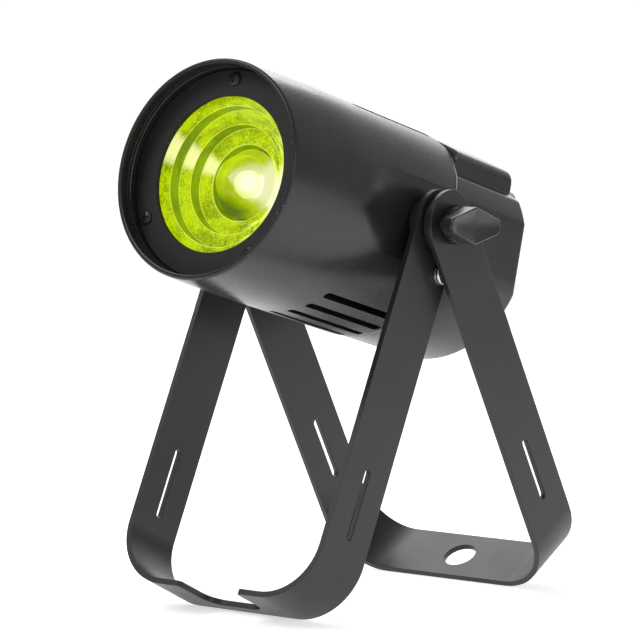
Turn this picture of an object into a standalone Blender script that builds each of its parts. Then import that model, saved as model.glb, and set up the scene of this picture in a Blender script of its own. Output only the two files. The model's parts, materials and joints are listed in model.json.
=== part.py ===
"""Follow spot: a small LED pinspot on a two-part scissor bracket.

Metres, +Z up.  The lamp faces -Y and tilts about an axis along X; both bracket
feet rest on z = 0, and the origin is under the middle of the whole object.
Inside the lamp a place is given as (x, forward, up): "forward" runs along the
lamp's axis towards the lens and "up" is square to it.
"""
import bpy
import bmesh
from math import acos, atan2, cos, hypot, pi, radians, sin, sqrt
from mathutils import Vector

# ---------------------------------------------------------------- driving sizes
GAP = 0.0003                 # between pieces that touch
RUNNING = 0.00005            # radial clearance of a shaft in its hole
PART_GROOVE = 0.0006         # visible groove where the two housings meet

# straps
STRAP_WIDTH = 0.030
STRAP_THICKNESS = 0.0025
STRAP_BEND = 0.0263          # outer radius of a bend
FRONT_REACH = 0.1765         # pivot to the foot's outer face
REACH_EXTRA = 0.0084         # the rear bracket is this much longer
FRONT_LEAN = radians(24.75)
PIVOT_Y = -0.0015            # sets the origin under the middle of the object
SLOT_START = 0.1118          # arm slot, measured from the pivot
SLOT_END = 0.1439
SLOT_WIDTH = 0.0036
CLAMP_HOLE_RADIUS = 0.0075
NOTCH_WIDTH = 0.031
NOTCH_DEPTH = 0.0235
NOTCH_CORNER = 0.007
NOTCH_MOUTH = 0.0025         # rounding of the notch's two prongs

# pivot stack, from the housing outwards
HOUSING_WASHER = 0.00525
HOUSING_WASHER_RADIUS = 0.0115
BRACKET_SPACER = 0.0032
BRACKET_SPACER_RADIUS = 0.0125
STUD_RADIUS = 0.003
STUD_HOLE_RADIUS = 0.0033
KNOB_HUB_RADIUS = 0.0085
KNOB_HUB_HEIGHT = 0.0035
KNOB_WING_HEIGHT = 0.0093
KNOB_INNER_HALF = 0.0145     # half length of the wing where it leaves the hub
KNOB_OUTER_HALF = 0.0180
KNOB_HALF_DEPTH = 0.0080
KNOB_NOSE = 0.0036           # rounding of the wing's four corners
KNOB_EDGE = 0.0010           # rounding round its outer face
KNOB_TURN = radians(11.4)    # both wings stand nearly level
STOP_ALONG = 0.0193          # stop screw, down the arm from the pivot
STOP_ACROSS = 0.0098         # and towards the arm's rear edge
STOP_HEAD_RADIUS = 0.0042
STOP_WASHER_RADIUS = 0.0051
STOP_THREAD_RADIUS = 0.002

# lamp body
LAMP_TILT = radians(14.1)    # front of the lamp raised
BARREL_RADIUS = 0.0486
RIM_TAPER = 0.0011           # the barrel's radius falls by this much at the rim
RIM_FORWARD = 0.096
RIM_STRAIGHT = 0.046         # the barrel narrows towards the rim from here on
RIM_WALL = 0.0023
BARREL_WALL = 0.0050
FLAT_DEPTH = 0.0034          # side flats that the brackets clamp on
FLAT_WALL = 0.0026
FLAT_FRONT = 0.022
FLAT_RUNOUT = 0.060          # radius of the cutter that ends each flat
SEAM_FORWARD = -0.0175
SEAM_TOP_FORWARD = -0.0295
SEAM_BREAK_UP = 0.0175
SEAM_TOP_UP = 0.0395
REAR_SHRINK = 0.0006         # the rear cover is this much smaller than the barrel
REAR_END = -0.0745
REAR_WALL = 0.0026
COVER_EDGE = 0.0014          # rounding of the rear cover's end
STEP_WALL = 0.0343           # side of the raised top, from the middle
STEP_UP = 0.0292             # where the ledge meets that side
LEDGE_DROP = 0.48            # fall of the ledge per unit of width
TOP_SLOPE = radians(19.5)    # slope of the flat part beside the crown
TOP_SUNK = 0.0002            # that flat starts this far inside the round crown
TOP_CORNER = 0.0060          # rounding between the flat and the side
STEP_LAND = 0.0030           # land left between the seam and the step
VENT_WIDTH = 0.0039
VENT_PITCH = radians(11.5)
VENT_LENGTH_LOW = 0.052
VENT_LENGTH_TOP = 0.056
VENT_LAND = 0.0025
LOW_VENTS = 7
TOP_VENTS = 5

# optics
RECESS = 0.0095
FACE_PLATE = 0.002
LENS_OPENING = 0.0337
LENS_SEAT = 0.0029           # the lens is this much wider than its opening
LENS_EDGE = 0.0019
LENS_SAG = 0.0026
GASKET = 0.0007
CUP_LEDGES = (0.0035, 0.0066, 0.0071)   # ledge widths, from the lens opening inwards
CUP_STEP = 0.0057
CUP_DEPTH = 0.0205
CUP_FLANGE = 0.0028
DOME_ROOM = 0.0049           # between the dome lens and the cup
DOME_SKIRT = 0.0044          # straight part under the dome
DOME_HEIGHT = 0.0102
DOME_FLANGE = 0.0016
DOME_FLANGE_ROOM = 0.0015    # between the dome's flange and the cup
HOLDER_HEIGHT = 0.0034
LED_SIZE = 0.009
LED_HEIGHT = 0.0016
LED_BOARD = 0.0016
SINK_BASE = 0.006
SINK_LENGTH = 0.034
SINK_ROOM = 0.0031           # between the heat sink and the barrel's bore
SINK_FINS = 9
FIN_THICKNESS = 0.0024
FACE_SCREW_ANGLES = (0.0, 144.0, 240.0)   # degrees, clockwise from the top
FACE_SCREW_INSET = 0.0045    # screw centres, in from the recess's wall
FACE_SCREW_LENGTH = 0.008
SCREW_HEAD_RADIUS = 0.0029
SCREW_HEAD_HEIGHT = 0.0012
SCREW_THREAD_RADIUS = 0.0013
CROSS_WIDTH = 0.0009
CROSS_DEPTH = 0.0008

# chassis and electronics
CHASSIS_SHEET = 0.0015
CHASSIS_HALF_HEIGHT = 0.012
CHASSIS_REAR = -0.062
BUSH_RADIUS = 0.0055
BUSH_FLANGE_RADIUS = 0.0085
BUSH_FLANGE = 0.0018
BUSH_LENGTH = 0.0095
BOARD = 0.0016

# rear panel
PANEL = 0.002
PANEL_RECESS = 0.002
POWER_X = 0.0187
POWER_UP = 0.0225
POWER_HALF = 0.0106
POWER_CORNER = 0.004
POWER_PROUD = 0.0115
POWER_BORE = 0.0085
POWER_BODY_RADIUS = 0.0100
POWER_BODY = 0.018
DMX_X = 0.0145
DMX_UP = -0.0275
DMX_RADIUS = 0.0098
DMX_FLANGE = 0.0012
DMX_BORE = 0.0082
DMX_DEPTH = 0.014
DMX_BODY = 0.018
PIN_RADIUS = 0.0012
PIN_PITCH = 0.0037
PIN_LENGTH = 0.0078
BUTTONS = 4
BUTTON_PITCH = 0.009
BUTTON_UP = -0.0105
BUTTON_RADIUS = 0.0022
BUTTON_PROUD = 0.0012
BUTTON_FLANGE_RADIUS = 0.0032
WINDOW_WIDTH = 0.032
WINDOW_HEIGHT = 0.0115
WINDOW_UP = 0.0015
FUSE_UP = 0.0265
FUSE_RADIUS = 0.0060
FUSE_PROUD = 0.0065
PANEL_SCREW_ANGLES = (0.0, 120.0, 240.0)
PANEL_SCREW_INSET = 0.0075   # screw centres, in from the rear cover's outside
PANEL_SCREW_LENGTH = 0.009
BOSS_HALF_WIDTH = 0.0032     # bosses in the rear cover that the panel screws bite into
BOSS_DEPTH = 0.0108          # from the rear cover's outside to the boss's inner side
BOSS_LENGTH = 0.010
EYE_INSET = 0.0095           # the eye's centre, in from the rear cover's outside
EYE_HALF_WIDTH = 0.0062
EYE_WIRE = 0.0015
EYE_REACH = 0.0105

ROUND_LARGE = 52
ROUND_OPTIC = 30
ROUND_MEDIUM = 24
ROUND_SMALL = 12
BEND_STEPS = 6
SHARP = radians(35)

# ---------------------------------------------------------------- derived sizes
RIM_RADIUS = BARREL_RADIUS - RIM_TAPER
FRONT_BORE = RIM_RADIUS - RIM_WALL
BARREL_CAVITY = BARREL_RADIUS - BARREL_WALL
FLAT_HALF_WIDTH = BARREL_RADIUS - FLAT_DEPTH
REAR_RADIUS = BARREL_RADIUS - REAR_SHRINK
LENS_RADIUS = LENS_OPENING + LENS_SEAT
CUP_RADII = tuple(LENS_OPENING - sum(CUP_LEDGES[:count + 1]) for count in range(len(CUP_LEDGES)))
DOME_RADIUS = CUP_RADII[-1] - DOME_ROOM
DOME_FLANGE_RADIUS = CUP_RADII[-1] - DOME_FLANGE_ROOM
LED_BOARD_RADIUS = DOME_FLANGE_RADIUS
SINK_RADIUS = BARREL_CAVITY - SINK_ROOM
FACE_SCREW_PITCH = FRONT_BORE - FACE_SCREW_INSET
PANEL_SCREW_PITCH = REAR_RADIUS - PANEL_SCREW_INSET
BOSS_INNER = REAR_RADIUS - BOSS_DEPTH
EYE_UP = EYE_INSET - REAR_RADIUS
HALF_STRAP = STRAP_WIDTH / 2
REAR_REACH = FRONT_REACH + REACH_EXTRA
FRONT_INNER = FLAT_HALF_WIDTH + GAP + HOUSING_WASHER + GAP
FRONT_OUTER = FRONT_INNER + STRAP_THICKNESS
REAR_INNER = FRONT_OUTER + GAP + BRACKET_SPACER + GAP
REAR_OUTER = REAR_INNER + STRAP_THICKNESS
KNOB_START = REAR_OUTER + GAP
PIVOT_HEIGHT = FRONT_REACH * cos(FRONT_LEAN) + HALF_STRAP * sin(FRONT_LEAN)
REAR_DIAGONAL = hypot(REAR_REACH, HALF_STRAP)
REAR_LEAN = atan2(HALF_STRAP, REAR_REACH) + acos(PIVOT_HEIGHT / REAR_DIAGONAL)
PLATE_FRONT = RIM_FORWARD - RECESS
PLATE_BACK = PLATE_FRONT - FACE_PLATE
LENS_RIM = PLATE_BACK - GAP - GASKET - GAP
LENS_BACK = LENS_RIM - LENS_EDGE
CUP_FRONT = LENS_BACK - GAP
CUP_BACK = CUP_FRONT - CUP_DEPTH
SINK_FRONT = CUP_BACK - GAP
LED_BOARD_FRONT = SINK_FRONT + GAP + LED_BOARD
HOLDER_BACK = LED_BOARD_FRONT + GAP
HOLDER_FRONT = HOLDER_BACK + HOLDER_HEIGHT
DOME_BASE = HOLDER_FRONT + GAP
CAVITY_FLAT = FLAT_HALF_WIDTH - FLAT_WALL
SINK_BACK = SINK_FRONT - SINK_LENGTH
CHASSIS_FRONT = SINK_BACK - GAP
CHASSIS_HALF_WIDTH = min(CAVITY_FLAT - GAP, sqrt((BARREL_CAVITY - GAP) ** 2 - CHASSIS_HALF_HEIGHT ** 2))
PANEL_OUTER = REAR_END + PANEL_RECESS
PANEL_INNER = PANEL_OUTER + PANEL
TRAY_TOP = -CHASSIS_HALF_HEIGHT + CHASSIS_SHEET


# ---------------------------------------------------------------- small helpers
def clear_scene():
    """Start from an empty file."""
    for item in list(bpy.data.objects):
        bpy.data.objects.remove(item, do_unlink=True)


def finish(color, roughness, metallic=0.0, name="finish"):
    """One plain material."""
    material = bpy.data.materials.new(name)
    material.use_nodes = True
    shader = material.node_tree.nodes["Principled BSDF"]
    shader.inputs["Base Color"].default_value = (*color, 1.0)
    shader.inputs["Roughness"].default_value = roughness
    shader.inputs["Metallic"].default_value = metallic
    return material


FINISHES = {
    "housing": ((0.022, 0.022, 0.024), 0.38, 0.0),
    "bracket": ((0.026, 0.026, 0.028), 0.55, 0.0),
    "plastic": ((0.020, 0.020, 0.022), 0.60, 0.0),
    "rubber": ((0.015, 0.015, 0.015), 0.85, 0.0),
    "steel": ((0.62, 0.61, 0.58), 0.30, 1.0),
    "black_screw": ((0.02, 0.02, 0.02), 0.35, 0.6),
    "glass": ((0.80, 0.95, 0.30), 0.05, 0.0),
    "optic": ((0.55, 0.75, 0.02), 0.40, 0.0),
    "aluminium": ((0.70, 0.70, 0.72), 0.35, 1.0),
    "board": ((0.02, 0.16, 0.07), 0.55, 0.0),
    "light_plastic": ((0.62, 0.62, 0.60), 0.45, 0.0),
    "blue_plastic": ((0.03, 0.14, 0.55), 0.45, 0.0),
    "brass": ((0.70, 0.52, 0.20), 0.30, 1.0),
    "amber": ((0.75, 0.45, 0.05), 0.50, 0.0),
}


def add_mesh(name, bm, kind, parent=None, origin=(0.0, 0.0, 0.0)):
    """Close the bmesh into an object whose origin is given in its parent's frame."""
    bmesh.ops.remove_doubles(bm, verts=bm.verts, dist=1e-7)
    bmesh.ops.translate(bm, verts=bm.verts, vec=-Vector(origin))
    bmesh.ops.recalc_face_normals(bm, faces=bm.faces)
    mesh = bpy.data.meshes.new(name)
    bm.to_mesh(mesh)
    bm.free()
    mesh.shade_smooth()
    mesh.set_sharp_from_angle(angle=SHARP)
    item = bpy.data.objects.new(name, mesh)
    bpy.context.scene.collection.objects.link(item)
    item.location = origin
    if kind:
        mesh.materials.append(finish(*FINISHES[kind], name=name))
    item.parent = parent
    return item


def empty(name, location, turn=0.0):
    """A guide that carries the pieces of one moving body; turn is about X."""
    item = bpy.data.objects.new(name, None)
    item.location = location
    item.rotation_euler = (turn, 0.0, 0.0)
    bpy.context.scene.collection.objects.link(item)
    return item


def combine(target, tool, operation="DIFFERENCE"):
    """Cut, join or intersect target with a tool that stays out of the build."""
    tool.hide_render = True
    tool.display_type = "WIRE"
    modifier = target.modifiers.new(tool.name, "BOOLEAN")
    modifier.operation = operation
    modifier.solver = "EXACT"
    modifier.object = tool


def lamp(x, forward, up):
    """A place inside the lamp, in the lamp's own frame."""
    return Vector((x, -forward, up))


def arc(centre, radius, start, end, steps):
    """Points on a circle, both ends included."""
    points = []
    for index in range(steps + 1):
        angle = start + (end - start) * index / steps
        points.append((centre[0] + radius * cos(angle), centre[1] + radius * sin(angle)))
    return points


def rounded_box(half_a, half_b, corner, steps=4, centre=(0.0, 0.0)):
    """Outline of a rectangle with round corners."""
    points = []
    for index, (side_a, side_b) in enumerate(((1, 1), (-1, 1), (-1, -1), (1, -1))):
        middle = (centre[0] + side_a * (half_a - corner), centre[1] + side_b * (half_b - corner))
        points += arc(middle, corner, index * pi / 2, (index + 1) * pi / 2, steps)
    return points


# each axis name gives the direction of extrusion or turning and two square to it
AXES = {
    "x": (Vector((1, 0, 0)), Vector((0, 1, 0)), Vector((0, 0, 1))),
    "forward": (Vector((0, -1, 0)), Vector((1, 0, 0)), Vector((0, 0, 1))),
    "up": (Vector((0, 0, 1)), Vector((1, 0, 0)), Vector((0, -1, 0))),
}


def prism(name, outline, axis, start, end, kind=None, parent=None, centre=(0, 0, 0)):
    """Extrude a flat outline along an axis, from start to end."""
    along, first, second = AXES[axis]
    bm = bmesh.new()
    verts = []
    for a, b in outline:
        verts.append(bm.verts.new(Vector(centre) + along * start + first * a + second * b))
    face = bm.faces.new(verts)
    result = bmesh.ops.extrude_face_region(bm, geom=[face])
    moved = [element for element in result["geom"] if isinstance(element, bmesh.types.BMVert)]
    bmesh.ops.translate(bm, verts=moved, vec=along * (end - start))
    return add_mesh(name, bm, kind, parent)


def loft(name, loops, kind=None, parent=None):
    """Skin a row of outlines that have the same number of points, and close both ends."""
    bm = bmesh.new()
    rows = []
    for loop in loops:
        rows.append([bm.verts.new(place) for place in loop])
    for one, other in zip(rows, rows[1:]):
        for index in range(len(one)):
            following = (index + 1) % len(one)
            bm.faces.new((one[index], one[following], other[following], other[index]))
    bm.faces.new(rows[0])
    bm.faces.new(rows[-1])
    return add_mesh(name, bm, kind, parent)


def turned(name, outline, axis="forward", kind=None, parent=None, centre=(0, 0, 0), steps=ROUND_MEDIUM,
           closed=True, origin=(0, 0, 0)):
    """Turn an outline of (along, radius) points about an axis through centre."""
    along, first, _ = AXES[axis]
    bm = bmesh.new()
    verts = [bm.verts.new(Vector(centre) + along * a + first * r) for a, r in outline]
    for one, other in zip(verts, verts[1:]):
        bm.edges.new((one, other))
    if closed:
        bm.edges.new((verts[-1], verts[0]))
    bmesh.ops.spin(bm, geom=bm.verts[:] + bm.edges[:], cent=centre, axis=along, angle=2 * pi,
                   steps=steps, use_merge=True)
    bmesh.ops.remove_doubles(bm, verts=bm.verts, dist=1e-7)
    return add_mesh(name, bm, kind, parent, origin)


def rod(name, start, end, radius, axis="forward", kind=None, parent=None, centre=(0, 0, 0),
        steps=ROUND_SMALL):
    """A plain round bar."""
    outline = [(start, 0.0), (start, radius), (end, radius), (end, 0.0)]
    return turned(name, outline, axis, kind, parent, centre, steps, closed=False)


def ring(name, start, end, inner, outer, axis="forward", kind=None, parent=None, centre=(0, 0, 0),
         steps=ROUND_MEDIUM):
    """A plain washer or tube."""
    outline = [(start, inner), (start, outer), (end, outer), (end, inner)]
    return turned(name, outline, axis, kind, parent, centre, steps)


def block(name, low, high, kind=None, parent=None):
    """A plain block between two corners given as (x, forward, up)."""
    outline = [(low[0], low[2]), (high[0], low[2]), (high[0], high[2]), (low[0], high[2])]
    return prism(name, outline, "forward", low[1], high[1], kind, parent)


# ---------------------------------------------------------------- brackets
def bracket(name, outer, reach, lean):
    """A U of flat strap, modelled hanging straight down and then leaned over."""
    frame = empty(name + "_frame", (0, PIVOT_Y, PIVOT_HEIGHT), lean)
    inner_bend = STRAP_BEND - STRAP_THICKNESS
    inner = outer - STRAP_THICKNESS
    top = HALF_STRAP
    bend_x = outer - STRAP_BEND
    bend_z = -reach + STRAP_BEND
    outline = [(outer, top)]
    outline += arc((bend_x, bend_z), STRAP_BEND, 0, -pi / 2, BEND_STEPS)
    outline += arc((-bend_x, bend_z), STRAP_BEND, -pi / 2, -pi, BEND_STEPS)
    outline += [(-outer, top), (-inner, top)]
    outline += arc((-bend_x, bend_z), inner_bend, pi, 3 * pi / 2, BEND_STEPS)
    outline += arc((bend_x, bend_z), inner_bend, -pi / 2, 0, BEND_STEPS)
    outline += [(inner, top)]
    strap = prism(name, outline, "forward", -2 * HALF_STRAP, 2 * HALF_STRAP, "bracket", frame)
    ends = arc((0, 0), HALF_STRAP, 0, pi, ROUND_SMALL)
    ends += [(-HALF_STRAP, -2 * reach), (HALF_STRAP, -2 * reach)]
    blank = prism(name + "_blank", ends, "x", -2 * outer, 2 * outer, parent=frame)
    combine(strap, blank, "INTERSECT")
    hole = rod(name + "_pivot_hole", -2 * outer, 2 * outer, STUD_HOLE_RADIUS, "x", parent=frame)
    combine(strap, hole)
    middle = -(SLOT_START + SLOT_END) / 2
    half = (SLOT_END - SLOT_START) / 2
    slot = rounded_box(SLOT_WIDTH / 2, half, SLOT_WIDTH / 2 * 0.98, 4, (0, middle))
    cutter = prism(name + "_arm_slot", slot, "x", -2 * outer, 2 * outer, parent=frame)
    combine(strap, cutter)
    return strap, frame


def clamp_hole(strap, frame):
    """Round hole in the middle of the rear foot."""
    drill = rod("clamp_drill", -2 * REAR_REACH, 0, CLAMP_HOLE_RADIUS, "up", parent=frame, steps=ROUND_MEDIUM)
    combine(strap, drill)


def clamp_notch(strap, frame):
    """Wide notch in the front foot's leading edge; it clears the clamp bolt when folded."""
    half = NOTCH_WIDTH / 2
    floor = HALF_STRAP - NOTCH_DEPTH
    outline = arc((-half + NOTCH_CORNER, floor + NOTCH_CORNER), NOTCH_CORNER, pi, 3 * pi / 2, 5)
    outline += arc((half - NOTCH_CORNER, floor + NOTCH_CORNER), NOTCH_CORNER, -pi / 2, 0, 5)
    outline += arc((half + NOTCH_MOUTH, HALF_STRAP - NOTCH_MOUTH), NOTCH_MOUTH, pi, pi / 2, 3)
    outline += [(half + NOTCH_MOUTH, 2 * HALF_STRAP), (-half - NOTCH_MOUTH, 2 * HALF_STRAP)]
    outline += arc((-half - NOTCH_MOUTH, HALF_STRAP - NOTCH_MOUTH), NOTCH_MOUTH, pi / 2, 0, 3)
    cutter = prism("notch_cutter", outline, "up", -2 * FRONT_REACH, -FRONT_REACH / 2, parent=frame)
    combine(strap, cutter)


def stop_screw(strap, frame):
    """Bright pan-head screw and washer on the near front arm, under the rear arm."""
    centre = (0, STOP_ACROSS, -STOP_ALONG)
    drill = rod("stop_drill", FRONT_INNER / 2, 2 * FRONT_OUTER, STOP_THREAD_RADIUS + RUNNING, "x",
                parent=frame, centre=centre)
    combine(strap, drill)
    face = FRONT_OUTER + GAP
    washer_top = face + 0.0006
    ring("stop_washer", face, washer_top, STOP_THREAD_RADIUS + RUNNING, STOP_WASHER_RADIUS, "x",
         "steel", frame, centre, ROUND_SMALL)
    seat = washer_top + GAP
    head = REAR_INNER - 2 * GAP - seat
    outline = [(FRONT_INNER - 0.0008, 0.0), (FRONT_INNER - 0.0008, STOP_THREAD_RADIUS),
               (seat, STOP_THREAD_RADIUS), (seat, STOP_HEAD_RADIUS),
               (seat + head * 0.6, STOP_HEAD_RADIUS), (seat + head * 0.9, STOP_HEAD_RADIUS * 0.8),
               (seat + head, STOP_HEAD_RADIUS * 0.5), (seat + head, 0.0)]
    turned("stop_screw", outline, "x", "steel", frame, centre, ROUND_SMALL, closed=False)


# ---------------------------------------------------------------- clamp knobs
def knob(side, head):
    """Wing knob with its stud, on the pivot axis; side is +1 near, -1 far."""
    label = "near" if side > 0 else "far"
    turn = empty("knob_frame_" + label, (0, 0, 0), side * KNOB_TURN)
    turn.parent = head
    if side < 0:
        turn.rotation_euler.z = pi
    hub_top = KNOB_START + KNOB_HUB_HEIGHT
    wing_top = hub_top + KNOB_WING_HEIGHT
    loops = []
    for x, half, shrink in ((hub_top, KNOB_INNER_HALF, 0.0), (wing_top - KNOB_EDGE, KNOB_OUTER_HALF, 0.0),
                            (wing_top - KNOB_EDGE * 0.3, KNOB_OUTER_HALF, KNOB_EDGE * 0.3),
                            (wing_top, KNOB_OUTER_HALF, KNOB_EDGE)):
        loops.append([(x, y, z) for y, z in wing_outline(half, shrink)])
    wing = loft("knob_" + label, loops, "plastic", turn)
    hub = rod("knob_hub_" + label, KNOB_START, hub_top + KNOB_WING_HEIGHT / 2, KNOB_HUB_RADIUS, "x",
              parent=turn, steps=ROUND_MEDIUM)
    combine(wing, hub, "UNION")
    blind = hub_top + KNOB_WING_HEIGHT * 0.7
    bore = rod("knob_bore_" + label, KNOB_START / 2, blind, STUD_RADIUS + RUNNING, "x", parent=turn)
    combine(wing, bore)
    rod("knob_stud_" + label, FLAT_HALF_WIDTH - BUSH_LENGTH + GAP, blind - GAP, STUD_RADIUS, "x", "steel", turn)


def wing_outline(half, shrink):
    """Long rounded rhombus seen along the pivot axis, drawn in by shrink all round."""
    tip = half - KNOB_NOSE
    crown = KNOB_HALF_DEPTH - KNOB_NOSE
    slope = atan2(crown, tip)
    nose = KNOB_NOSE - shrink
    points = arc((tip, 0), nose, slope - pi / 2, pi / 2 - slope, 4)
    points += arc((0, crown), nose, pi / 2 - slope, pi / 2 + slope, 2)[1:-1]
    points += arc((-tip, 0), nose, pi / 2 + slope, 3 * pi / 2 - slope, 4)
    points += arc((0, -crown), nose, 3 * pi / 2 - slope, 3 * pi / 2 + slope, 2)[1:-1]
    return points


def pivot_stack(side, head):
    """Washer, spacer and threaded bush on one side of the lamp."""
    label = "near" if side > 0 else "far"
    start = FLAT_HALF_WIDTH + GAP
    ends = sorted((side * start, side * (start + HOUSING_WASHER)))
    ring("housing_washer_" + label, *ends, STUD_HOLE_RADIUS, HOUSING_WASHER_RADIUS, "x", "rubber", head)
    start = FRONT_OUTER + GAP
    ends = sorted((side * start, side * (start + BRACKET_SPACER)))
    ring("bracket_spacer_" + label, *ends, STUD_HOLE_RADIUS, BRACKET_SPACER_RADIUS, "x", "plastic", head)
    face = side * FLAT_HALF_WIDTH
    tail = side * (FLAT_HALF_WIDTH - BUSH_LENGTH)
    flange = side * (CHASSIS_HALF_WIDTH - CHASSIS_SHEET - GAP)
    flange_back = flange - side * BUSH_FLANGE
    bore = STUD_RADIUS + RUNNING
    outline = [(face, bore), (face, BUSH_RADIUS), (flange, BUSH_RADIUS), (flange, BUSH_FLANGE_RADIUS),
               (flange_back, BUSH_FLANGE_RADIUS), (flange_back, BUSH_RADIUS), (tail, BUSH_RADIUS), (tail, bore)]
    turned("pivot_bush_" + label, outline, "x", "brass", head)


# ---------------------------------------------------------------- lamp shells
def seam_outline(shift, ahead):
    """Side view of what lies ahead of (or behind) the seam, moved back by shift."""
    far = 4 * BARREL_RADIUS if ahead else -4 * BARREL_RADIUS
    tall = 3 * BARREL_RADIUS
    line = [(SEAM_FORWARD - shift, -tall), (SEAM_FORWARD - shift, SEAM_BREAK_UP),
            (SEAM_TOP_FORWARD - shift, SEAM_TOP_UP), (SEAM_TOP_FORWARD - shift, tall)]
    line += [(far, tall), (far, -tall)]
    return [(-forward, up) for forward, up in line]


def cut_flats(item, flat, front, parent):
    """Mill a flat on each side, ending in a long run-out."""
    steps = 6
    depth = BARREL_RADIUS - flat + 0.004
    reach = acos(1 - depth / FLAT_RUNOUT)
    outline = [(flat, REAR_END * 2), (flat, front)]
    for index in range(1, steps + 1):
        angle = reach * index / steps
        outline.append((flat + FLAT_RUNOUT * (1 - cos(angle)), front + FLAT_RUNOUT * sin(angle)))
    outline.append((outline[-1][0], REAR_END * 2))
    for side in (1, -1):
        shape = [(side * x, forward) for x, forward in outline]
        cutter = prism(item.name + "_flat", shape, "up", -BARREL_RADIUS, BARREL_RADIUS, parent=parent)
        combine(item, cutter)


def vents(item, count, first_angle, start, length, parent):
    """A fan of long slots through the wall, about the lamp's axis."""
    for index in range(count):
        angle = first_angle + (index - (count - 1) / 2) * VENT_PITCH
        slot = rounded_box(VENT_WIDTH / 2, length / 2, VENT_WIDTH / 2 * 0.9, 2, (0, start + length / 2))
        cutter = prism(item.name + "_vent", slot, "up", BARREL_CAVITY * 0.9, BARREL_RADIUS * 1.1, parent=parent)
        cutter.rotation_euler = (0, angle, 0)
        combine(item, cutter)


def front_housing(head):
    """Barrel with the front recess, side flats, vents and a tongue over the rear."""
    tail = SEAM_TOP_FORWARD - 0.004
    edge = 0.0010
    outline = [(tail, BARREL_RADIUS)]
    steps = 6
    for index in range(steps + 1):
        share = index / steps
        drop = (BARREL_RADIUS - RIM_RADIUS) * (1 - cos(share * pi / 2))
        outline.append((RIM_STRAIGHT + (RIM_FORWARD - edge - RIM_STRAIGHT) * share, BARREL_RADIUS - drop))
    outline += [(RIM_FORWARD, RIM_RADIUS - edge), (RIM_FORWARD, 0.0)]
    outline.insert(0, (tail, 0.0))
    shell = turned("front_housing", outline, kind="housing", parent=head, steps=ROUND_LARGE, closed=False)
    cut_flats(shell, FLAT_HALF_WIDTH, FLAT_FRONT, head)
    seat = PLATE_BACK - GAP
    hollow = [(tail * 2, 0.0), (tail * 2, BARREL_CAVITY), (seat, BARREL_CAVITY), (seat, FRONT_BORE),
              (RIM_FORWARD * 1.2, FRONT_BORE), (RIM_FORWARD * 1.2, 0.0)]
    cavity = turned("front_cavity", hollow, parent=head, steps=ROUND_LARGE, closed=False)
    cut_flats(cavity, CAVITY_FLAT, FLAT_FRONT, head)
    combine(shell, cavity)
    behind = prism("front_trim", seam_outline(0.0, ahead=False), "x", -0.1, 0.1, parent=head)
    combine(shell, behind)
    vents(shell, LOW_VENTS, pi, SEAM_FORWARD + VENT_LAND, VENT_LENGTH_LOW, head)
    vents(shell, TOP_VENTS, 0.0, SEAM_TOP_FORWARD + VENT_LAND, VENT_LENGTH_TOP, head)
    bush_holes(shell, head)


def bush_holes(item, head):
    """Holes for the threaded bushes, through both sides."""
    drill = rod(item.name + "_bush_drill", -0.1, 0.1, BUSH_RADIUS + RUNNING, "x", parent=head, steps=ROUND_MEDIUM)
    combine(item, drill)


def rear_solid(name, inset, start, end, kind, head, rounding=0.0):
    """Rear body's solid outline, drawn in by inset all round, between two stations."""
    radius = REAR_RADIUS - inset
    outline = [(start, 0.0), (start, radius), (end + rounding, radius)]
    if rounding:
        for along, out in arc((end + rounding, radius - rounding), rounding, pi / 2, pi, 3)[1:]:
            outline.append((along, out))
    else:
        outline.append((end, radius))
    outline.append((end, 0.0))
    body = turned(name, outline, kind=kind, parent=head, steps=ROUND_LARGE, closed=False)
    cut_flats(body, FLAT_HALF_WIDTH - inset, FLAT_FRONT, head)
    wall = STEP_WALL - inset
    corner_up = STEP_UP - inset * (hypot(1, LEDGE_DROP) - LEDGE_DROP)
    far = 2 * REAR_RADIUS
    for side in (1, -1):
        raised_top(body, side, inset, (start, end), rounding, head)
        step = [(wall, corner_up), (far, corner_up - (far - wall) * LEDGE_DROP), (far, far)]
        corner = arc(top_corner(), TOP_CORNER - inset, 0, pi / 2 - TOP_SLOPE - 0.05, 5)
        reach = arc(top_corner(), far, 0, pi / 2 - TOP_SLOPE - 0.05, 1)[-1]
        step = [(side * x, up) for x, up in step + [reach] + corner[::-1]]
        cutter = prism(name + "_step", step, "forward", -4 * REAR_RADIUS, SEAM_FORWARD, parent=head)
        back = prism(name + "_land", seam_outline(STEP_LAND, ahead=False), "x", -0.1, 0.1, parent=head)
        combine(cutter, back, "INTERSECT")
        combine(body, cutter)
    return body


def top_corner():
    """Centre of the rounding between the raised top's flat and its side."""
    across = STEP_WALL - TOP_CORNER
    up = (REAR_RADIUS - TOP_SUNK - TOP_CORNER - across * sin(TOP_SLOPE)) / cos(TOP_SLOPE)
    return across, up


def raised_top(body, side, inset, span, rounding, head):
    """Fill the raised top out to its flat, which stands proud of the round body."""
    start, end = span
    loops = []
    stations = [(min(start, SEAM_FORWARD), 0.0), (end + rounding, 0.0)]
    if rounding:
        stations += [(end + rounding * (1 - sin(angle)), rounding * (1 - cos(angle)))
                     for angle in (radians(30), radians(60), radians(90))]
    wide = STEP_WALL + TOP_CORNER / 2
    for forward, shrink in stations:
        offset = REAR_RADIUS - TOP_SUNK - inset - shrink
        outline = [(0.0, 0.0), (offset * sin(TOP_SLOPE), offset * cos(TOP_SLOPE)),
                   (wide, (offset - wide * sin(TOP_SLOPE)) / cos(TOP_SLOPE)), (wide, STEP_UP - TOP_CORNER / 2)]
        loops.append([lamp(side * x, forward, up) for x, up in outline])
    wedge = loft(body.name + "_top", loops, parent=head)
    back = prism(body.name + "_top_land", seam_outline(STEP_LAND + TOP_SUNK, ahead=False), "x", -0.1, 0.1,
                 parent=head)
    combine(wedge, back, "INTERSECT")
    combine(body, wedge, "UNION")


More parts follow.
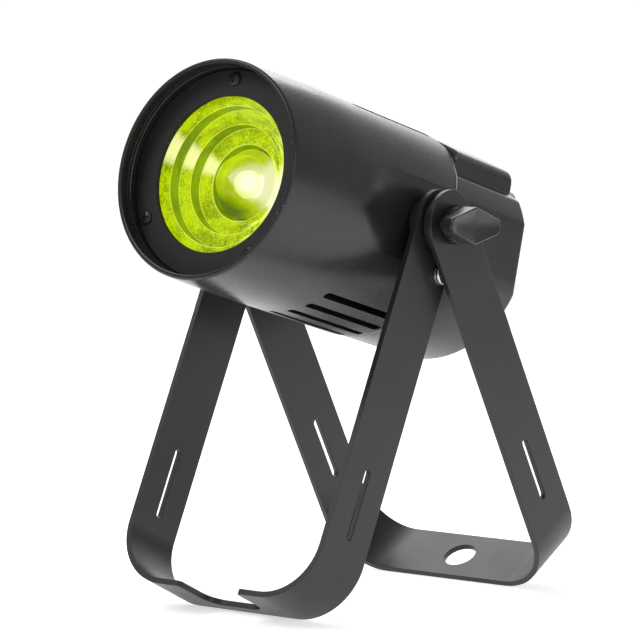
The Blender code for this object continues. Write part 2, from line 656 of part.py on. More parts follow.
def rear_housing(head):
    """Rear cover: open at both ends, stepped beside its raised top."""
    cover = rear_solid("rear_housing", 0.0, SEAM_FORWARD, REAR_END, "housing", head, rounding=COVER_EDGE)
    ahead = prism("rear_trim", seam_outline(PART_GROOVE, ahead=True), "x", -0.1, 0.1, parent=head)
    combine(cover, ahead)
    cavity = rear_solid("rear_cavity", REAR_WALL, 0.0, 2 * REAR_END, None, head)
    combine(cover, cavity)
    start = PANEL_INNER + GAP
    boss_outer = REAR_RADIUS - REAR_WALL / 2
    middle = (BOSS_INNER + boss_outer) / 2
    for degrees in PANEL_SCREW_ANGLES:
        section = rounded_box(BOSS_HALF_WIDTH, (boss_outer - BOSS_INNER) / 2, BOSS_HALF_WIDTH * 0.5, 2, (0, middle))
        boss = prism("rear_boss", section, "forward", start, start + BOSS_LENGTH, parent=head)
        boss.rotation_euler = (0, radians(degrees), 0)
        combine(cover, boss, "UNION")
    for index, x, up in around(PANEL_SCREW_ANGLES, PANEL_SCREW_PITCH):
        drill = rod(f"boss_drill_{index}", start - GAP, start + BOSS_LENGTH + GAP, SCREW_THREAD_RADIUS + RUNNING,
                    parent=head, centre=lamp(x, 0, up))
        combine(cover, drill)


# ---------------------------------------------------------------- optics
def cross_screw(name, place, length, head):
    """Cross-head screw along the lamp's axis; place is under its head, head facing forward or back."""
    x, under, up, facing = place
    top = under + facing * SCREW_HEAD_HEIGHT
    tip = under - facing * length
    shoulder = under + facing * SCREW_HEAD_HEIGHT * 0.45
    outline = [(tip, 0.0), (tip, SCREW_THREAD_RADIUS), (under, SCREW_THREAD_RADIUS), (under, SCREW_HEAD_RADIUS),
               (shoulder, SCREW_HEAD_RADIUS), (top, SCREW_HEAD_RADIUS * 0.72), (top, 0.0)]
    centre = lamp(x, 0, up)
    screw = turned(name, outline, kind="black_screw", parent=head, centre=centre, steps=ROUND_SMALL,
                   closed=False)
    arm = SCREW_HEAD_RADIUS * 0.62
    half = CROSS_WIDTH / 2
    cross = [(arm, half), (half, half), (half, arm), (-half, arm), (-half, half), (-arm, half),
             (-arm, -half), (-half, -half), (-half, -arm), (half, -arm), (half, -half), (arm, -half)]
    cutter = prism(name + "_cross", cross, "forward", top - facing * CROSS_DEPTH, top + facing * 0.002,
                   parent=head, centre=centre)
    combine(screw, cutter)


def around(angles, pitch):
    """Number, x and up of places on a pitch circle, clockwise from the top."""
    for index, degrees in enumerate(angles):
        angle = radians(degrees)
        yield index + 1, pitch * sin(angle), pitch * cos(angle)


def optics(head):
    """Face plate, lens, gasket, stepped cup, dome lens and LED."""
    plate = ring("face_plate", PLATE_BACK, PLATE_FRONT, LENS_OPENING, FRONT_BORE - GAP, kind="housing",
                 parent=head, steps=ROUND_LARGE)
    cup_outline = [(CUP_FRONT - CUP_FLANGE, BARREL_CAVITY - GAP), (CUP_FRONT, BARREL_CAVITY - GAP)]
    level = CUP_FRONT
    for radius in CUP_RADII[:-1]:
        cup_outline += [(level, radius), (level - CUP_STEP, radius)]
        level -= CUP_STEP
    outer = CUP_RADII[0] + 0.0022
    cup_outline += [(level, CUP_RADII[-1]), (CUP_BACK, CUP_RADII[-1]), (CUP_BACK, CUP_RADII[-1] + 0.003),
                    (level - 0.003, outer), (CUP_FRONT - CUP_FLANGE, outer)]
    cup = turned("stepped_cup", cup_outline, kind="optic", parent=head, steps=ROUND_OPTIC)
    for index, x, up in around(FACE_SCREW_ANGLES, FACE_SCREW_PITCH):
        drill = rod(f"face_drill_{index}", CUP_BACK, RIM_FORWARD, SCREW_THREAD_RADIUS + RUNNING,
                    parent=head, centre=lamp(x, 0, up))
        combine(plate, drill)
        combine(cup, drill)
        cross_screw(f"face_screw_{index}", (x, PLATE_FRONT + GAP, up, 1), FACE_SCREW_LENGTH, head)
    sphere = (LENS_OPENING ** 2 + LENS_SAG ** 2) / (2 * LENS_SAG)
    dome = [(LENS_RIM + LENS_SAG, 0.0)]
    for index in range(1, 6):
        radius = LENS_OPENING * 0.985 * index / 5
        dome.append((LENS_RIM + LENS_SAG - sphere + sqrt(sphere ** 2 - radius ** 2), radius))
    lens = dome + [(LENS_RIM, LENS_OPENING), (LENS_RIM, LENS_RADIUS), (LENS_BACK, LENS_RADIUS), (LENS_BACK, 0.0)]
    turned("front_lens", lens, kind="glass", parent=head, steps=ROUND_OPTIC, closed=False)
    ring("lens_gasket", LENS_RIM + GAP, LENS_RIM + GAP + GASKET, LENS_OPENING + 0.0006, LENS_RADIUS,
         kind="rubber", parent=head, steps=ROUND_OPTIC)
    cap = [(DOME_BASE, 0.0), (DOME_BASE, DOME_FLANGE_RADIUS), (DOME_BASE + DOME_FLANGE, DOME_FLANGE_RADIUS),
           (DOME_BASE + DOME_FLANGE, DOME_RADIUS)]
    for index in range(7):
        angle = pi / 2 * index / 6
        cap.append((DOME_BASE + DOME_SKIRT + DOME_HEIGHT * sin(angle), DOME_RADIUS * cos(angle)))
    turned("dome_lens", cap, kind="glass", parent=head, closed=False)
    ring("dome_holder", HOLDER_BACK, HOLDER_FRONT, LED_SIZE * 0.9, DOME_FLANGE_RADIUS, kind="plastic", parent=head)
    half = LED_SIZE / 2
    block("led_emitter", (-half, LED_BOARD_FRONT + GAP, -half), (half, LED_BOARD_FRONT + GAP + LED_HEIGHT, half),
          "amber", head)
    rod("led_board", SINK_FRONT + GAP, LED_BOARD_FRONT, LED_BOARD_RADIUS, kind="aluminium", parent=head,
        steps=ROUND_MEDIUM)


def heat_sink(head):
    """Finned block behind the LED, turned to fit the barrel."""
    pitch = 2 * (SINK_RADIUS - FIN_THICKNESS) / (SINK_FINS - 1)
    outline = [(SINK_RADIUS, SINK_FRONT), (-SINK_RADIUS, SINK_FRONT)]
    base = SINK_FRONT - SINK_BASE
    for index in range(SINK_FINS):
        left = -SINK_RADIUS + FIN_THICKNESS / 2 + index * pitch
        if index:
            outline.append((left, base))
        outline += [(left, SINK_BACK), (left + FIN_THICKNESS, SINK_BACK)]
        if index < SINK_FINS - 1:
            outline.append((left + FIN_THICKNESS, base))
    outline[2] = (-SINK_RADIUS, SINK_BACK)
    outline[-1] = (SINK_RADIUS, SINK_BACK)
    sink = prism("heat_sink", outline, "up", -BARREL_RADIUS, BARREL_RADIUS, "aluminium", head)
    blank = rod("sink_blank", SINK_BACK - 0.001, SINK_FRONT + 0.001, SINK_RADIUS - 0.0004, parent=head,
                steps=ROUND_MEDIUM)
    combine(sink, blank, "INTERSECT")


# ---------------------------------------------------------------- chassis and electronics
def electronics(head):
    """Channel chassis with the power supply and driver boards on it."""
    wide = CHASSIS_HALF_WIDTH
    thin = wide - CHASSIS_SHEET
    tall = CHASSIS_HALF_HEIGHT
    channel = [(-wide, -tall), (wide, -tall), (wide, tall), (thin, tall), (thin, TRAY_TOP), (-thin, TRAY_TOP),
               (-thin, tall), (-wide, tall)]
    chassis = prism("chassis", channel, "forward", CHASSIS_REAR, CHASSIS_FRONT, "aluminium", head)
    bush_holes(chassis, head)
    floor = TRAY_TOP + GAP
    sheet_top = floor + 0.0006
    block("insulating_sheet", (-0.032, -0.044, floor), (0.032, 0.018, sheet_top), "amber", head)
    board_top = sheet_top + GAP + BOARD
    block("power_board", (-0.030, -0.042, sheet_top + GAP), (0.030, 0.016, board_top), "board", head)
    part_floor = board_top + GAP
    block("transformer", (-0.024, -0.014, part_floor), (-0.002, 0.010, part_floor + 0.018), "amber", head)
    rod("capacitor", part_floor, part_floor + 0.020, 0.008, "up", "plastic", head, lamp(0.014, -0.002, 0))
    block("driver_board", (-0.026, -0.040, part_floor), (0.026, -0.0384, part_floor + 0.020), "board", head)


# ---------------------------------------------------------------- rear panel
def rear_panel(head):
    """End plate with the sockets, fuse, display, buttons and safety eye."""
    panel = rear_solid("rear_panel", REAR_WALL + GAP, PANEL_INNER, PANEL_OUTER, "bracket", head)
    for index, x, up in around(PANEL_SCREW_ANGLES, PANEL_SCREW_PITCH):
        drill = rod(f"panel_drill_{index}", 0, 2 * REAR_END, SCREW_THREAD_RADIUS + RUNNING, parent=head,
                    centre=lamp(x, 0, up))
        combine(panel, drill)
        cross_screw(f"panel_screw_{index}", (x, PANEL_OUTER - GAP, up, -1), PANEL_SCREW_LENGTH, head)
    for side, name, kind in ((1, "power_out", "light_plastic"), (-1, "power_in", "blue_plastic")):
        power_socket(panel, name, side * POWER_X, kind, head)
    dmx_plug(panel, head)
    dmx_socket(panel, head)
    fuse(panel, head)
    display(panel, head)
    safety_eye(panel, head)


def through(panel, name, x, up, radius, head):
    """Round hole in the panel."""
    drill = rod(name + "_hole", PANEL_OUTER - 0.01, PANEL_INNER + 0.01, radius, parent=head,
                centre=lamp(x, 0, up), steps=ROUND_MEDIUM)
    combine(panel, drill)


def power_socket(panel, name, x, kind, head):
    """Locking power connector: square nose, round socket with a key post."""
    through(panel, name, x, POWER_UP, POWER_BODY_RADIUS + GAP, head)
    nose = rounded_box(POWER_HALF, POWER_HALF, POWER_CORNER, 4)
    back = PANEL_OUTER - GAP
    centre = lamp(x, 0, POWER_UP)
    body = prism(name, nose, "forward", REAR_END - POWER_PROUD, back, kind, head, centre)
    tail = rod(name + "_tail", back - 0.001, back + POWER_BODY, POWER_BODY_RADIUS, parent=head, centre=centre,
               steps=ROUND_MEDIUM)
    combine(body, tail, "UNION")
    socket = ring(name + "_socket", REAR_END - POWER_PROUD - 0.001, back - 0.001, 0.0030, POWER_BORE,
                  parent=head, centre=centre, steps=ROUND_MEDIUM)
    combine(body, socket)
    mouth = rod(name + "_mouth", REAR_END - POWER_PROUD - 0.001, REAR_END - POWER_PROUD + 0.0056, POWER_BORE,
                parent=head, centre=centre, steps=ROUND_MEDIUM)
    combine(body, mouth)


def dmx_shell(panel, name, x, head):
    """Round data connector body, without its contacts."""
    through(panel, name, x, DMX_UP, DMX_RADIUS - DMX_FLANGE, head)
    face = PANEL_OUTER - GAP
    neck = DMX_RADIUS - DMX_FLANGE - GAP
    outline = [(face - 0.0018, 0.0), (face - 0.0018, DMX_RADIUS), (face, DMX_RADIUS), (face, neck),
               (face + DMX_BODY, neck), (face + DMX_BODY, 0.0)]
    return turned(name, outline, kind="plastic", parent=head, centre=lamp(x, 0, DMX_UP), closed=False)


def contact_places():
    """Three contacts on their pitch circle."""
    for angle in (radians(90), radians(210), radians(330)):
        yield PIN_PITCH * sin(angle), PIN_PITCH * cos(angle)


def dmx_plug(panel, head):
    """Data input: a hollow shell with three pins on its floor."""
    shell = dmx_shell(panel, "dmx_in", -DMX_X, head)
    face = PANEL_OUTER - GAP - 0.0018
    centre = lamp(-DMX_X, 0, DMX_UP)
    bore = rod("dmx_in_bore", face - 0.001, face + DMX_DEPTH, DMX_BORE, parent=head, centre=centre,
               steps=ROUND_MEDIUM)
    combine(shell, bore)
    for x, up in contact_places():
        pin = rod("dmx_in_pin", face + DMX_DEPTH - PIN_LENGTH, face + DMX_DEPTH + 0.001, PIN_RADIUS, parent=head,
                  centre=centre + lamp(x, 0, up), steps=10)
        combine(shell, pin, "UNION")


def dmx_socket(panel, head):
    """Data output: a solid face with three holes and a latch tab."""
    shell = dmx_shell(panel, "dmx_out", DMX_X, head)
    face = PANEL_OUTER - GAP - 0.0018
    centre = lamp(DMX_X, 0, DMX_UP)
    groove = ring("dmx_out_groove", face - 0.001, face + DMX_DEPTH * 0.6, 0.0064, DMX_BORE * 0.96, parent=head,
                  centre=centre)
    combine(shell, groove)
    for x, up in contact_places():
        hole = rod("dmx_out_contact", face - 0.001, face + DMX_DEPTH * 0.6, PIN_RADIUS * 1.2, parent=head,
                   centre=centre + lamp(x, 0, up), steps=10)
        combine(shell, hole)
    low = DMX_UP + DMX_RADIUS + 0.0006
    width = 0.0030
    latch_back = PANEL_OUTER + 0.0012
    slot = block("latch_slot", (DMX_X - width - GAP, PANEL_OUTER - 0.01, low - GAP),
                 (DMX_X + width + GAP, PANEL_INNER + 0.01, low + 0.0032 + GAP), parent=head)
    combine(panel, slot)
    block("dmx_latch", (DMX_X - width, PANEL_OUTER - 0.0016, low), (DMX_X + width, latch_back + 0.002, low + 0.0032),
          "steel", head)


def fuse(panel, head):
    """Fuse carrier: a holder behind the panel, its fuse and a screw cap outside."""
    through(panel, "fuse", 0, FUSE_UP, FUSE_RADIUS - 0.0012, head)
    centre = lamp(0, 0, FUSE_UP)
    face = PANEL_OUTER - GAP
    neck = FUSE_RADIUS - 0.0012 - GAP
    length = 0.026
    floor = face + length - 0.0012
    outline = [(floor, 0.0), (floor, 0.0036), (face - 0.0016, 0.0036), (face - 0.0016, FUSE_RADIUS),
               (face, FUSE_RADIUS), (face, neck), (face + length, neck), (face + length, 0.0)]
    turned("fuse_holder", outline, kind="plastic", parent=head, centre=centre, steps=ROUND_SMALL, closed=False)
    rod("fuse_link", face + 0.0045, floor - GAP, 0.0026, kind="glass", parent=head, centre=centre)
    start = face - 0.0016 - GAP
    cap = [(start - FUSE_PROUD + 0.0016, 0.0), (start - FUSE_PROUD + 0.0016, FUSE_RADIUS - 0.0008),
           (start - FUSE_PROUD + 0.0024, FUSE_RADIUS - 0.0002), (start, FUSE_RADIUS - 0.0002), (start, 0.0033),
           (face + 0.0040, 0.0033), (face + 0.0040, 0.0)]
    item = turned("fuse_cap", cap, kind="plastic", parent=head, centre=centre, steps=ROUND_SMALL, closed=False,
                  origin=centre)
    coin = block("fuse_cap_slot", (-0.004, start - FUSE_PROUD, FUSE_UP - 0.0006),
                 (0.004, start - FUSE_PROUD + 0.0028, FUSE_UP + 0.0006), parent=head)
    combine(item, coin)


def display(panel, head):
    """Window, display module, board and the row of menu buttons."""
    half_width = WINDOW_WIDTH / 2
    half_height = WINDOW_HEIGHT / 2
    middle = (0, WINDOW_UP)
    lip = 0.0016
    opening = rounded_box(half_width - lip, half_height - lip, 0.0008, 2, middle)
    cutter = prism("window_cut", opening, "forward", PANEL_OUTER - 0.01, PANEL_INNER + 0.01, parent=head)
    combine(panel, cutter)
    glass = rounded_box(half_width, half_height, 0.0015, 2, middle)
    prism("display_window", glass, "forward", PANEL_OUTER - GAP - 0.0010, PANEL_OUTER - GAP, "glass", head)
    module_front = PANEL_INNER + GAP
    module_back = module_front + 0.0036
    block("display_module", (-half_width + lip, module_front, WINDOW_UP - half_height + lip),
          (half_width - lip, module_back, WINDOW_UP + half_height - lip), "plastic", head)
    board_front = module_back + GAP
    block("display_board", (-0.0250, board_front, -0.0155), (0.0250, board_front + BOARD, 0.0095), "board", head)
    for index in range(BUTTONS):
        x = (index - (BUTTONS - 1) / 2) * BUTTON_PITCH
        place = lamp(x, 0, BUTTON_UP)
        through(panel, f"menu_button_{index + 1}", x, BUTTON_UP, BUTTON_RADIUS + RUNNING, head)
        outside = PANEL_OUTER - BUTTON_PROUD
        flange = PANEL_INNER + GAP
        outline = [(outside, 0.0), (outside, BUTTON_RADIUS - 0.0003), (outside + 0.0003, BUTTON_RADIUS),
                   (flange, BUTTON_RADIUS), (flange, BUTTON_FLANGE_RADIUS), (flange + 0.0010, BUTTON_FLANGE_RADIUS),
                   (flange + 0.0010, 0.0012), (board_front - 0.0012, 0.0012), (board_front - 0.0012, 0.0)]
        turned(f"menu_button_{index + 1}", outline, kind="plastic", parent=head, centre=place, steps=ROUND_SMALL,
               closed=False, origin=place)


def safety_eye(panel, head):
    """Bent steel eye for a safety wire, riveted through the panel."""
    sides = 12
    bend = 0.004
    reach = PANEL_OUTER - EYE_REACH
    inside = PANEL_INNER + 0.003
    path = [(-EYE_HALF_WIDTH, inside)]
    path += arc((-EYE_HALF_WIDTH + bend, reach + bend), bend, pi, 3 * pi / 2, 4)
    path += arc((EYE_HALF_WIDTH - bend, reach + bend), bend, -pi / 2, 0, 4)
    path += [(EYE_HALF_WIDTH, inside)]
    loops = []
    for index, (x, forward) in enumerate(path):
        before = path[max(index - 1, 0)]
        after = path[min(index + 1, len(path) - 1)]
        direction = lamp(after[0] - before[0], after[1] - before[1], 0).normalized()
        across = direction.cross(Vector((0, 0, 1)))
        loop = []
        for step in range(sides):
            angle = 2 * pi * step / sides
            offset = across * cos(angle) + Vector((0, 0, 1)) * sin(angle)
            loop.append(lamp(x, forward, EYE_UP) + offset * EYE_WIRE)
        loops.append(loop)
    loft("safety_eye", loops, "steel", head)
    for side in (1, -1):
        drill = rod("eye_drill", PANEL_OUTER - 0.01, PANEL_INNER + 0.01, EYE_WIRE + RUNNING, parent=head,
                    centre=lamp(side * EYE_HALF_WIDTH, 0, EYE_UP))
        combine(panel, drill)


# ---------------------------------------------------------------- assembly
def main():
    clear_scene()
    front, front_frame = bracket("front_bracket", FRONT_OUTER, FRONT_REACH, -FRONT_LEAN)
    clamp_notch(front, front_frame)
    stop_screw(front, front_frame)
    rear, rear_frame = bracket("rear_bracket", REAR_OUTER, REAR_REACH, REAR_LEAN)
    clamp_hole(rear, rear_frame)
    head = empty("lamp_frame", (0, PIVOT_Y, PIVOT_HEIGHT), -LAMP_TILT)
    front_housing(head)
    rear_housing(head)
    optics(head)
    heat_sink(head)
    electronics(head)
    rear_panel(head)
    for side in (1, -1):
        pivot_stack(side, head)
        knob(side, head)


main()
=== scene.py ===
"""Follow spot: a small black LED pinspot standing on its two-part strap bracket, lit."""
import json
from math import acos, atan2, cos, hypot, pi, radians, sin, sqrt

import bmesh
import bpy
from mathutils import Matrix, Vector


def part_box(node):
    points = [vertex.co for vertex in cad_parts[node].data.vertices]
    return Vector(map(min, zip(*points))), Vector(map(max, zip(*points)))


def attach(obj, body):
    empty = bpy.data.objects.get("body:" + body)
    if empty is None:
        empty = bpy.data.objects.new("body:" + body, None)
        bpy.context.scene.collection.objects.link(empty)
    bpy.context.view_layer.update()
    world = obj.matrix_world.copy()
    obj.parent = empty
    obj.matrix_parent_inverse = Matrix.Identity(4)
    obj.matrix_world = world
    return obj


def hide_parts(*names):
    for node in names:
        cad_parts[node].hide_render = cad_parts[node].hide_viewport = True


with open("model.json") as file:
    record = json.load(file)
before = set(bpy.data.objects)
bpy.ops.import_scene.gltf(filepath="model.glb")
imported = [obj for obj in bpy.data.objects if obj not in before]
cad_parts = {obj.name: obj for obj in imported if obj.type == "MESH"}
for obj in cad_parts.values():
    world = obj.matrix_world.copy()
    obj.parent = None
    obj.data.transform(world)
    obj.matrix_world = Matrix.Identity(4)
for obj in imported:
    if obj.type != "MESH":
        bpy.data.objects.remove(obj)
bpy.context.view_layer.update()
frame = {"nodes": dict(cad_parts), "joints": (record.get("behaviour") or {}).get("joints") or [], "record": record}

joints = {joint["name"]: joint for joint in frame["joints"]}

# ---------------------------------------------------------------- sizes, in metres
PIVOT = Vector(joints["lamp_tilt"]["pos_m"])
TILT = radians(14.1)
FRONT_LEAN = radians(-24.75)
REAR_LEAN = radians(30.7545)
BARREL = 0.0486
RIM = 0.0475
RIM_FORWARD = 0.096
TAPER_START = 0.046
FRONT_BORE = 0.0452
CAVITY = 0.0436
FLAT = 0.0452
CAVITY_FLAT = 0.0426
FLAT_FRONT = 0.022
FLAT_RUNOUT = 0.060
SEAM = -0.0175
SEAM_BACK = -0.0295
SEAM_BREAK_UP = 0.0175
SEAM_TOP_UP = 0.0395
SLANT_END = 0.016
GROOVE = 0.0006
REAR = 0.0480
REAR_END = -0.0745
REAR_BEND = 0.0016
REAR_WALL = 0.0026
STEP_WALL = 0.0343
STEP_UP = 0.0292
ROUND_BELOW = 0.018
LEDGE_DROP = 0.48
TOP_SLOPE = radians(19.5)
TOP_CORNER = 0.0060
STEP_LAND = 0.0030
VENT_WIDTH = 0.0039
VENT_PITCH = radians(11.5)
STRAP_HALF = 0.015
STRAP = 0.0025
BEND = 0.0263
STEPS_ROUND = 144
KNOB_TURN = radians(11.4)
KNOB_DEPTH = 0.0080
HUB_RADIUS = 0.0080
FLUTE_DEPTH = 0.00045
STOP_ALONG = 0.0193
STOP_ACROSS = 0.0098
STOP_BORE = 0.00205
STOP_HEAD = 0.0042
PIVOT_BORE = 0.0033
BUSH_HOLE = 0.00555
CLAMP_HOLE = 0.0075
FRONT_REACH = 0.1765
REAR_REACH = 0.1849
SLOT_ALONG = 0.12785
SLOT_HALF_LENGTH = 0.01605
SLOT_HALF_WIDTH = 0.0018
NOTCH_HALF = 0.0155
NOTCH_DEPTH = 0.0235
GAP = 0.0003
LENS_OPENING = 0.0337
LENS_EDGE = 0.0019
CUP_STEP = 0.0057
CUP_RADII = (0.0302, 0.0236, 0.0165)
DOME_RADIUS = 0.0116
DOME_HEIGHT = 0.0102
CORE_RADIUS = 0.0058

# ---------------------------------------------------------------- frames of reference
FORWARD = Vector((0, -cos(TILT), sin(TILT)))
UP = Vector((0, sin(TILT), cos(TILT)))


def basis(x, y, z, origin):
    """The matrix that takes local axes to these directions at this origin."""
    matrix = Matrix((x, y, z)).transposed().to_4x4()
    matrix.translation = origin
    return matrix


LAMP = basis(Vector((1, 0, 0)), UP, FORWARD, PIVOT)
FAR = basis(UP, Vector((-1, 0, 0)).cross(UP), Vector((-1, 0, 0)), PIVOT)
NEAR = basis(UP, Vector((1, 0, 0)).cross(UP), Vector((1, 0, 0)), PIVOT)


def leaned(angle):
    """The frame of a bracket that leans by this angle about the pivot."""
    return Matrix.Translation(PIVOT) @ Matrix.Rotation(angle, 4, "X")


def extent(node, matrix=LAMP):
    """Lowest and highest corner of a node, measured in that frame."""
    back = matrix.inverted()
    places = [back @ vertex.co for vertex in frame["nodes"][node].data.vertices]
    low = Vector([min(place[axis] for place in places) for axis in range(3)])
    high = Vector([max(place[axis] for place in places) for axis in range(3)])
    return low, high


def middle_of(low, high):
    """Middle between two corners, across the frame's axis."""
    return Vector(((low.x + high.x) / 2, (low.y + high.y) / 2, 0))


# ---------------------------------------------------------------- shader expressions
class Value:
    """A socket that can stand in a sum."""

    def __init__(self, finish, socket):
        self.finish = finish
        self.socket = socket

    def math(self, operation, *others):
        return self.finish.node("Math", {"operation": operation}, dict(enumerate((self,) + others)))

    def __add__(self, other):
        return self.math("ADD", other)

    def __sub__(self, other):
        return self.math("SUBTRACT", other)

    def __rsub__(self, other):
        return self.finish.node("Math", {"operation": "SUBTRACT"}, {0: other, 1: self})

    def __mul__(self, other):
        return self.math("MULTIPLY", other)

    def __truediv__(self, other):
        return self.math("DIVIDE", other)

    def __pow__(self, other):
        return self.math("POWER", other)

    __radd__ = __add__
    __rmul__ = __mul__


class Finish:
    """One material: its node tree, its shader and the nodes that feed it."""

    def __init__(self, name, **constants):
        self.material = bpy.data.materials.new(name)
        self.material.use_nodes = True
        self.tree = self.material.node_tree
        self.shader = self.tree.nodes["Principled BSDF"]
        self.set(**constants)

    def set(self, **values):
        """Values or links for the shader's sockets; a name's _ stands for a space."""
        for key, value in values.items():
            self.feed(self.shader.inputs[key.replace("_", " ")], value)

    def feed(self, socket, value):
        if isinstance(value, Value):
            self.tree.links.new(value.socket, socket)
        elif socket.type == "RGBA" and len(value) == 3:
            socket.default_value = (*value, 1.0)
        else:
            socket.default_value = value

    def node(self, kind, settings=None, sockets=None, out=0):
        """Any node: its settings first, then the values or links of its sockets."""
        made = self.tree.nodes.new("ShaderNode" + kind)
        for key, value in (settings or {}).items():
            if key == "stops":
                ramp = made.color_ramp
                while len(ramp.elements) < len(value):
                    ramp.elements.new(1.0)
                for element, (place, color) in zip(ramp.elements, value):
                    element.position = place
                    element.color = (*color, 1.0)
            else:
                setattr(made, key, value)
        for key, value in (sockets or {}).items():
            self.feed(made.inputs[key], value)
        return Value(self, made.outputs[out])

    def place(self):
        return self.node("TexCoord", out="Object")

    def noise(self, scale, detail=2.0, rough=0.5, at=None):
        sockets = {"Vector": at or self.place(), "Scale": scale, "Detail": detail, "Roughness": rough}
        return self.node("TexNoise", {}, sockets, "Fac")

    def ranged(self, value, low, high, start=0.0, end=1.0):
        sockets = {0: value, 1: low, 2: high, 3: start, 4: end}
        return self.node("MapRange", {"interpolation_type": "SMOOTHSTEP"}, sockets)

    def mix(self, share, first, second):
        """Blend of two colours; each is a triple or a link."""
        made = self.tree.nodes.new("ShaderNodeMix")
        made.data_type = "RGBA"
        self.feed(made.inputs[0], share)
        self.feed(made.inputs[6], first)
        self.feed(made.inputs[7], second)
        return Value(self, made.outputs[2])

    def dot(self, vector, direction):
        return self.node("VectorMath", {"operation": "DOT_PRODUCT"}, {0: vector, 1: direction}, "Value")

    def from_pivot(self):
        return self.node("VectorMath", {"operation": "SUBTRACT"}, {0: self.place(), 1: PIVOT})

    def bump(self, height, distance):
        sockets = {"Height": height, "Distance": distance, "Strength": 1.0}
        self.set(Normal=self.node("Bump", {}, sockets))


def coated(name, dark, light, rough, spread, grain, depth):
    """Paint or moulded plastic: faint cloudy colour, uneven gloss and a fine raised grain."""
    finish = Finish(name)
    clouds = finish.noise(38.0, 3.0)
    fine = finish.noise(grain, 2.0, 0.6)
    finish.set(Base_Color=finish.mix(finish.ranged(clouds, 0.3, 0.7), dark, light))
    finish.set(Roughness=finish.ranged(clouds * 0.4 + fine * 0.6, 0.3, 0.7, rough - spread, rough + spread))
    finish.bump(fine, depth)
    return finish


def worn(finish, dark, light, chip, mask):
    """Bare chips where the mask is on."""
    specks = finish.ranged(finish.noise(520.0, 3.0, 0.7), 0.64, 0.70)
    clouds = finish.mix(finish.ranged(finish.noise(38.0, 3.0), 0.3, 0.7), dark, light)
    finish.set(Base_Color=finish.mix(specks * mask, clouds, chip))


def metal(name, color, rough, grain=420.0, stretch=(1, 1, 1), depth=0.00001, metallic=1.0):
    """Bare metal with faint lines or grain."""
    finish = Finish(name, Metallic=metallic)
    turned = finish.node("Mapping", {}, {"Vector": finish.place(), "Scale": stretch})
    lines = finish.noise(grain, 3.0, 0.6, turned)
    darker = tuple(part * 0.82 for part in color)
    finish.set(Base_Color=finish.mix(finish.ranged(lines, 0.3, 0.7), darker, color))
    finish.set(Roughness=finish.ranged(lines, 0.3, 0.7, rough * 0.8, rough * 1.25))
    finish.bump(lines, depth)
    return finish


def make_finishes():
    """Every material, by the record's slot name."""
    made = {}
    black, soft_black = (0.011, 0.011, 0.012), (0.016, 0.016, 0.0175)
    housing = coated("satin_black_paint", black, soft_black, 0.29, 0.04, 1500.0, 0.000012)
    forward = housing.dot(housing.from_pivot(), FORWARD)
    lip = housing.ranged(forward, RIM_FORWARD - 0.0009, RIM_FORWARD - 0.0003)
    right = housing.ranged(housing.dot(housing.from_pivot(), Vector((1, 0, 0))), 0.020, 0.040)
    worn(housing, black, soft_black, (0.17, 0.17, 0.18), lip * right)
    made["housing"] = housing
    made["face_plate"] = coated("dull_black_paint", (0.005, 0.005, 0.0055), (0.008, 0.008, 0.0085), 0.60, 0.07,
                                1900.0, 0.00002)
    made["panel"] = coated("panel_black_paint", (0.018, 0.018, 0.019), (0.026, 0.026, 0.028), 0.5, 0.07, 1900.0,
                           0.00003)
    made["bracket"] = coated("powder_coat", (0.012, 0.012, 0.0135), (0.019, 0.019, 0.021), 0.38, 0.07, 2300.0,
                             0.00004)
    made["knob_plastic"] = coated("knob_plastic", (0.020, 0.020, 0.021), (0.030, 0.030, 0.032), 0.34, 0.07,
                                  1300.0, 0.00004)
    made["black_plastic"] = coated("black_plastic", (0.015, 0.015, 0.016), (0.024, 0.024, 0.025), 0.42, 0.08,
                                   1700.0, 0.00002)
    made["rubber"] = coated("washer_rubber", (0.010, 0.010, 0.010), (0.016, 0.016, 0.016), 0.75, 0.08, 1200.0,
                            0.00004)
    made["grey_plastic"] = coated("grey_plastic", (0.42, 0.41, 0.40), (0.52, 0.51, 0.50), 0.42, 0.06, 1500.0,
                                  0.00002)
    made["blue_plastic"] = coated("blue_plastic", (0.012, 0.06, 0.27), (0.02, 0.085, 0.34), 0.42, 0.06, 1500.0,
                                  0.00002)
    made["black_screw"] = metal("blackened_screw", (0.045, 0.045, 0.048), 0.38, 900.0, depth=0.00002,
                                metallic=0.7)
    made["bright_steel"] = metal("bright_steel", (0.72, 0.71, 0.68), 0.24, 600.0)
    made["aluminium"] = metal("mill_aluminium", (0.74, 0.75, 0.76), 0.36, 500.0, (1, 8, 1))
    made["brass"] = metal("turned_brass", (0.72, 0.52, 0.24), 0.3, 700.0, (8, 1, 1))
    made["circuit_board"] = circuit_board()
    made["amber_film"] = coated("amber_film", (0.42, 0.17, 0.02), (0.55, 0.25, 0.04), 0.3, 0.08, 260.0, 0.00002)
    made["window"] = coated("smoked_window", (0.006, 0.007, 0.009), (0.010, 0.011, 0.014), 0.07, 0.02, 900.0,
                            0.000002)
    made["led_phosphor"] = hot_core()
    made["lit_cup"] = lit_cup()
    made["lens_glass"] = lens_glass()
    return made


def circuit_board():
    """Green board with copper tracks under the lacquer."""
    finish = Finish("circuit_board", Coat_Weight=0.4)
    sockets = {"Vector": finish.place(), "Scale": 95.0, "Mortar Size": 0.03}
    pads = finish.node("TexBrick", {"offset": 0.35}, sockets, 1)
    dust = finish.noise(300.0)
    finish.set(Base_Color=finish.mix(pads, (0.012, 0.09, 0.035), (0.035, 0.2, 0.07)))
    finish.set(Roughness=finish.ranged(dust, 0.3, 0.7, 0.28, 0.45))
    finish.bump(pads, 0.00003)
    return finish


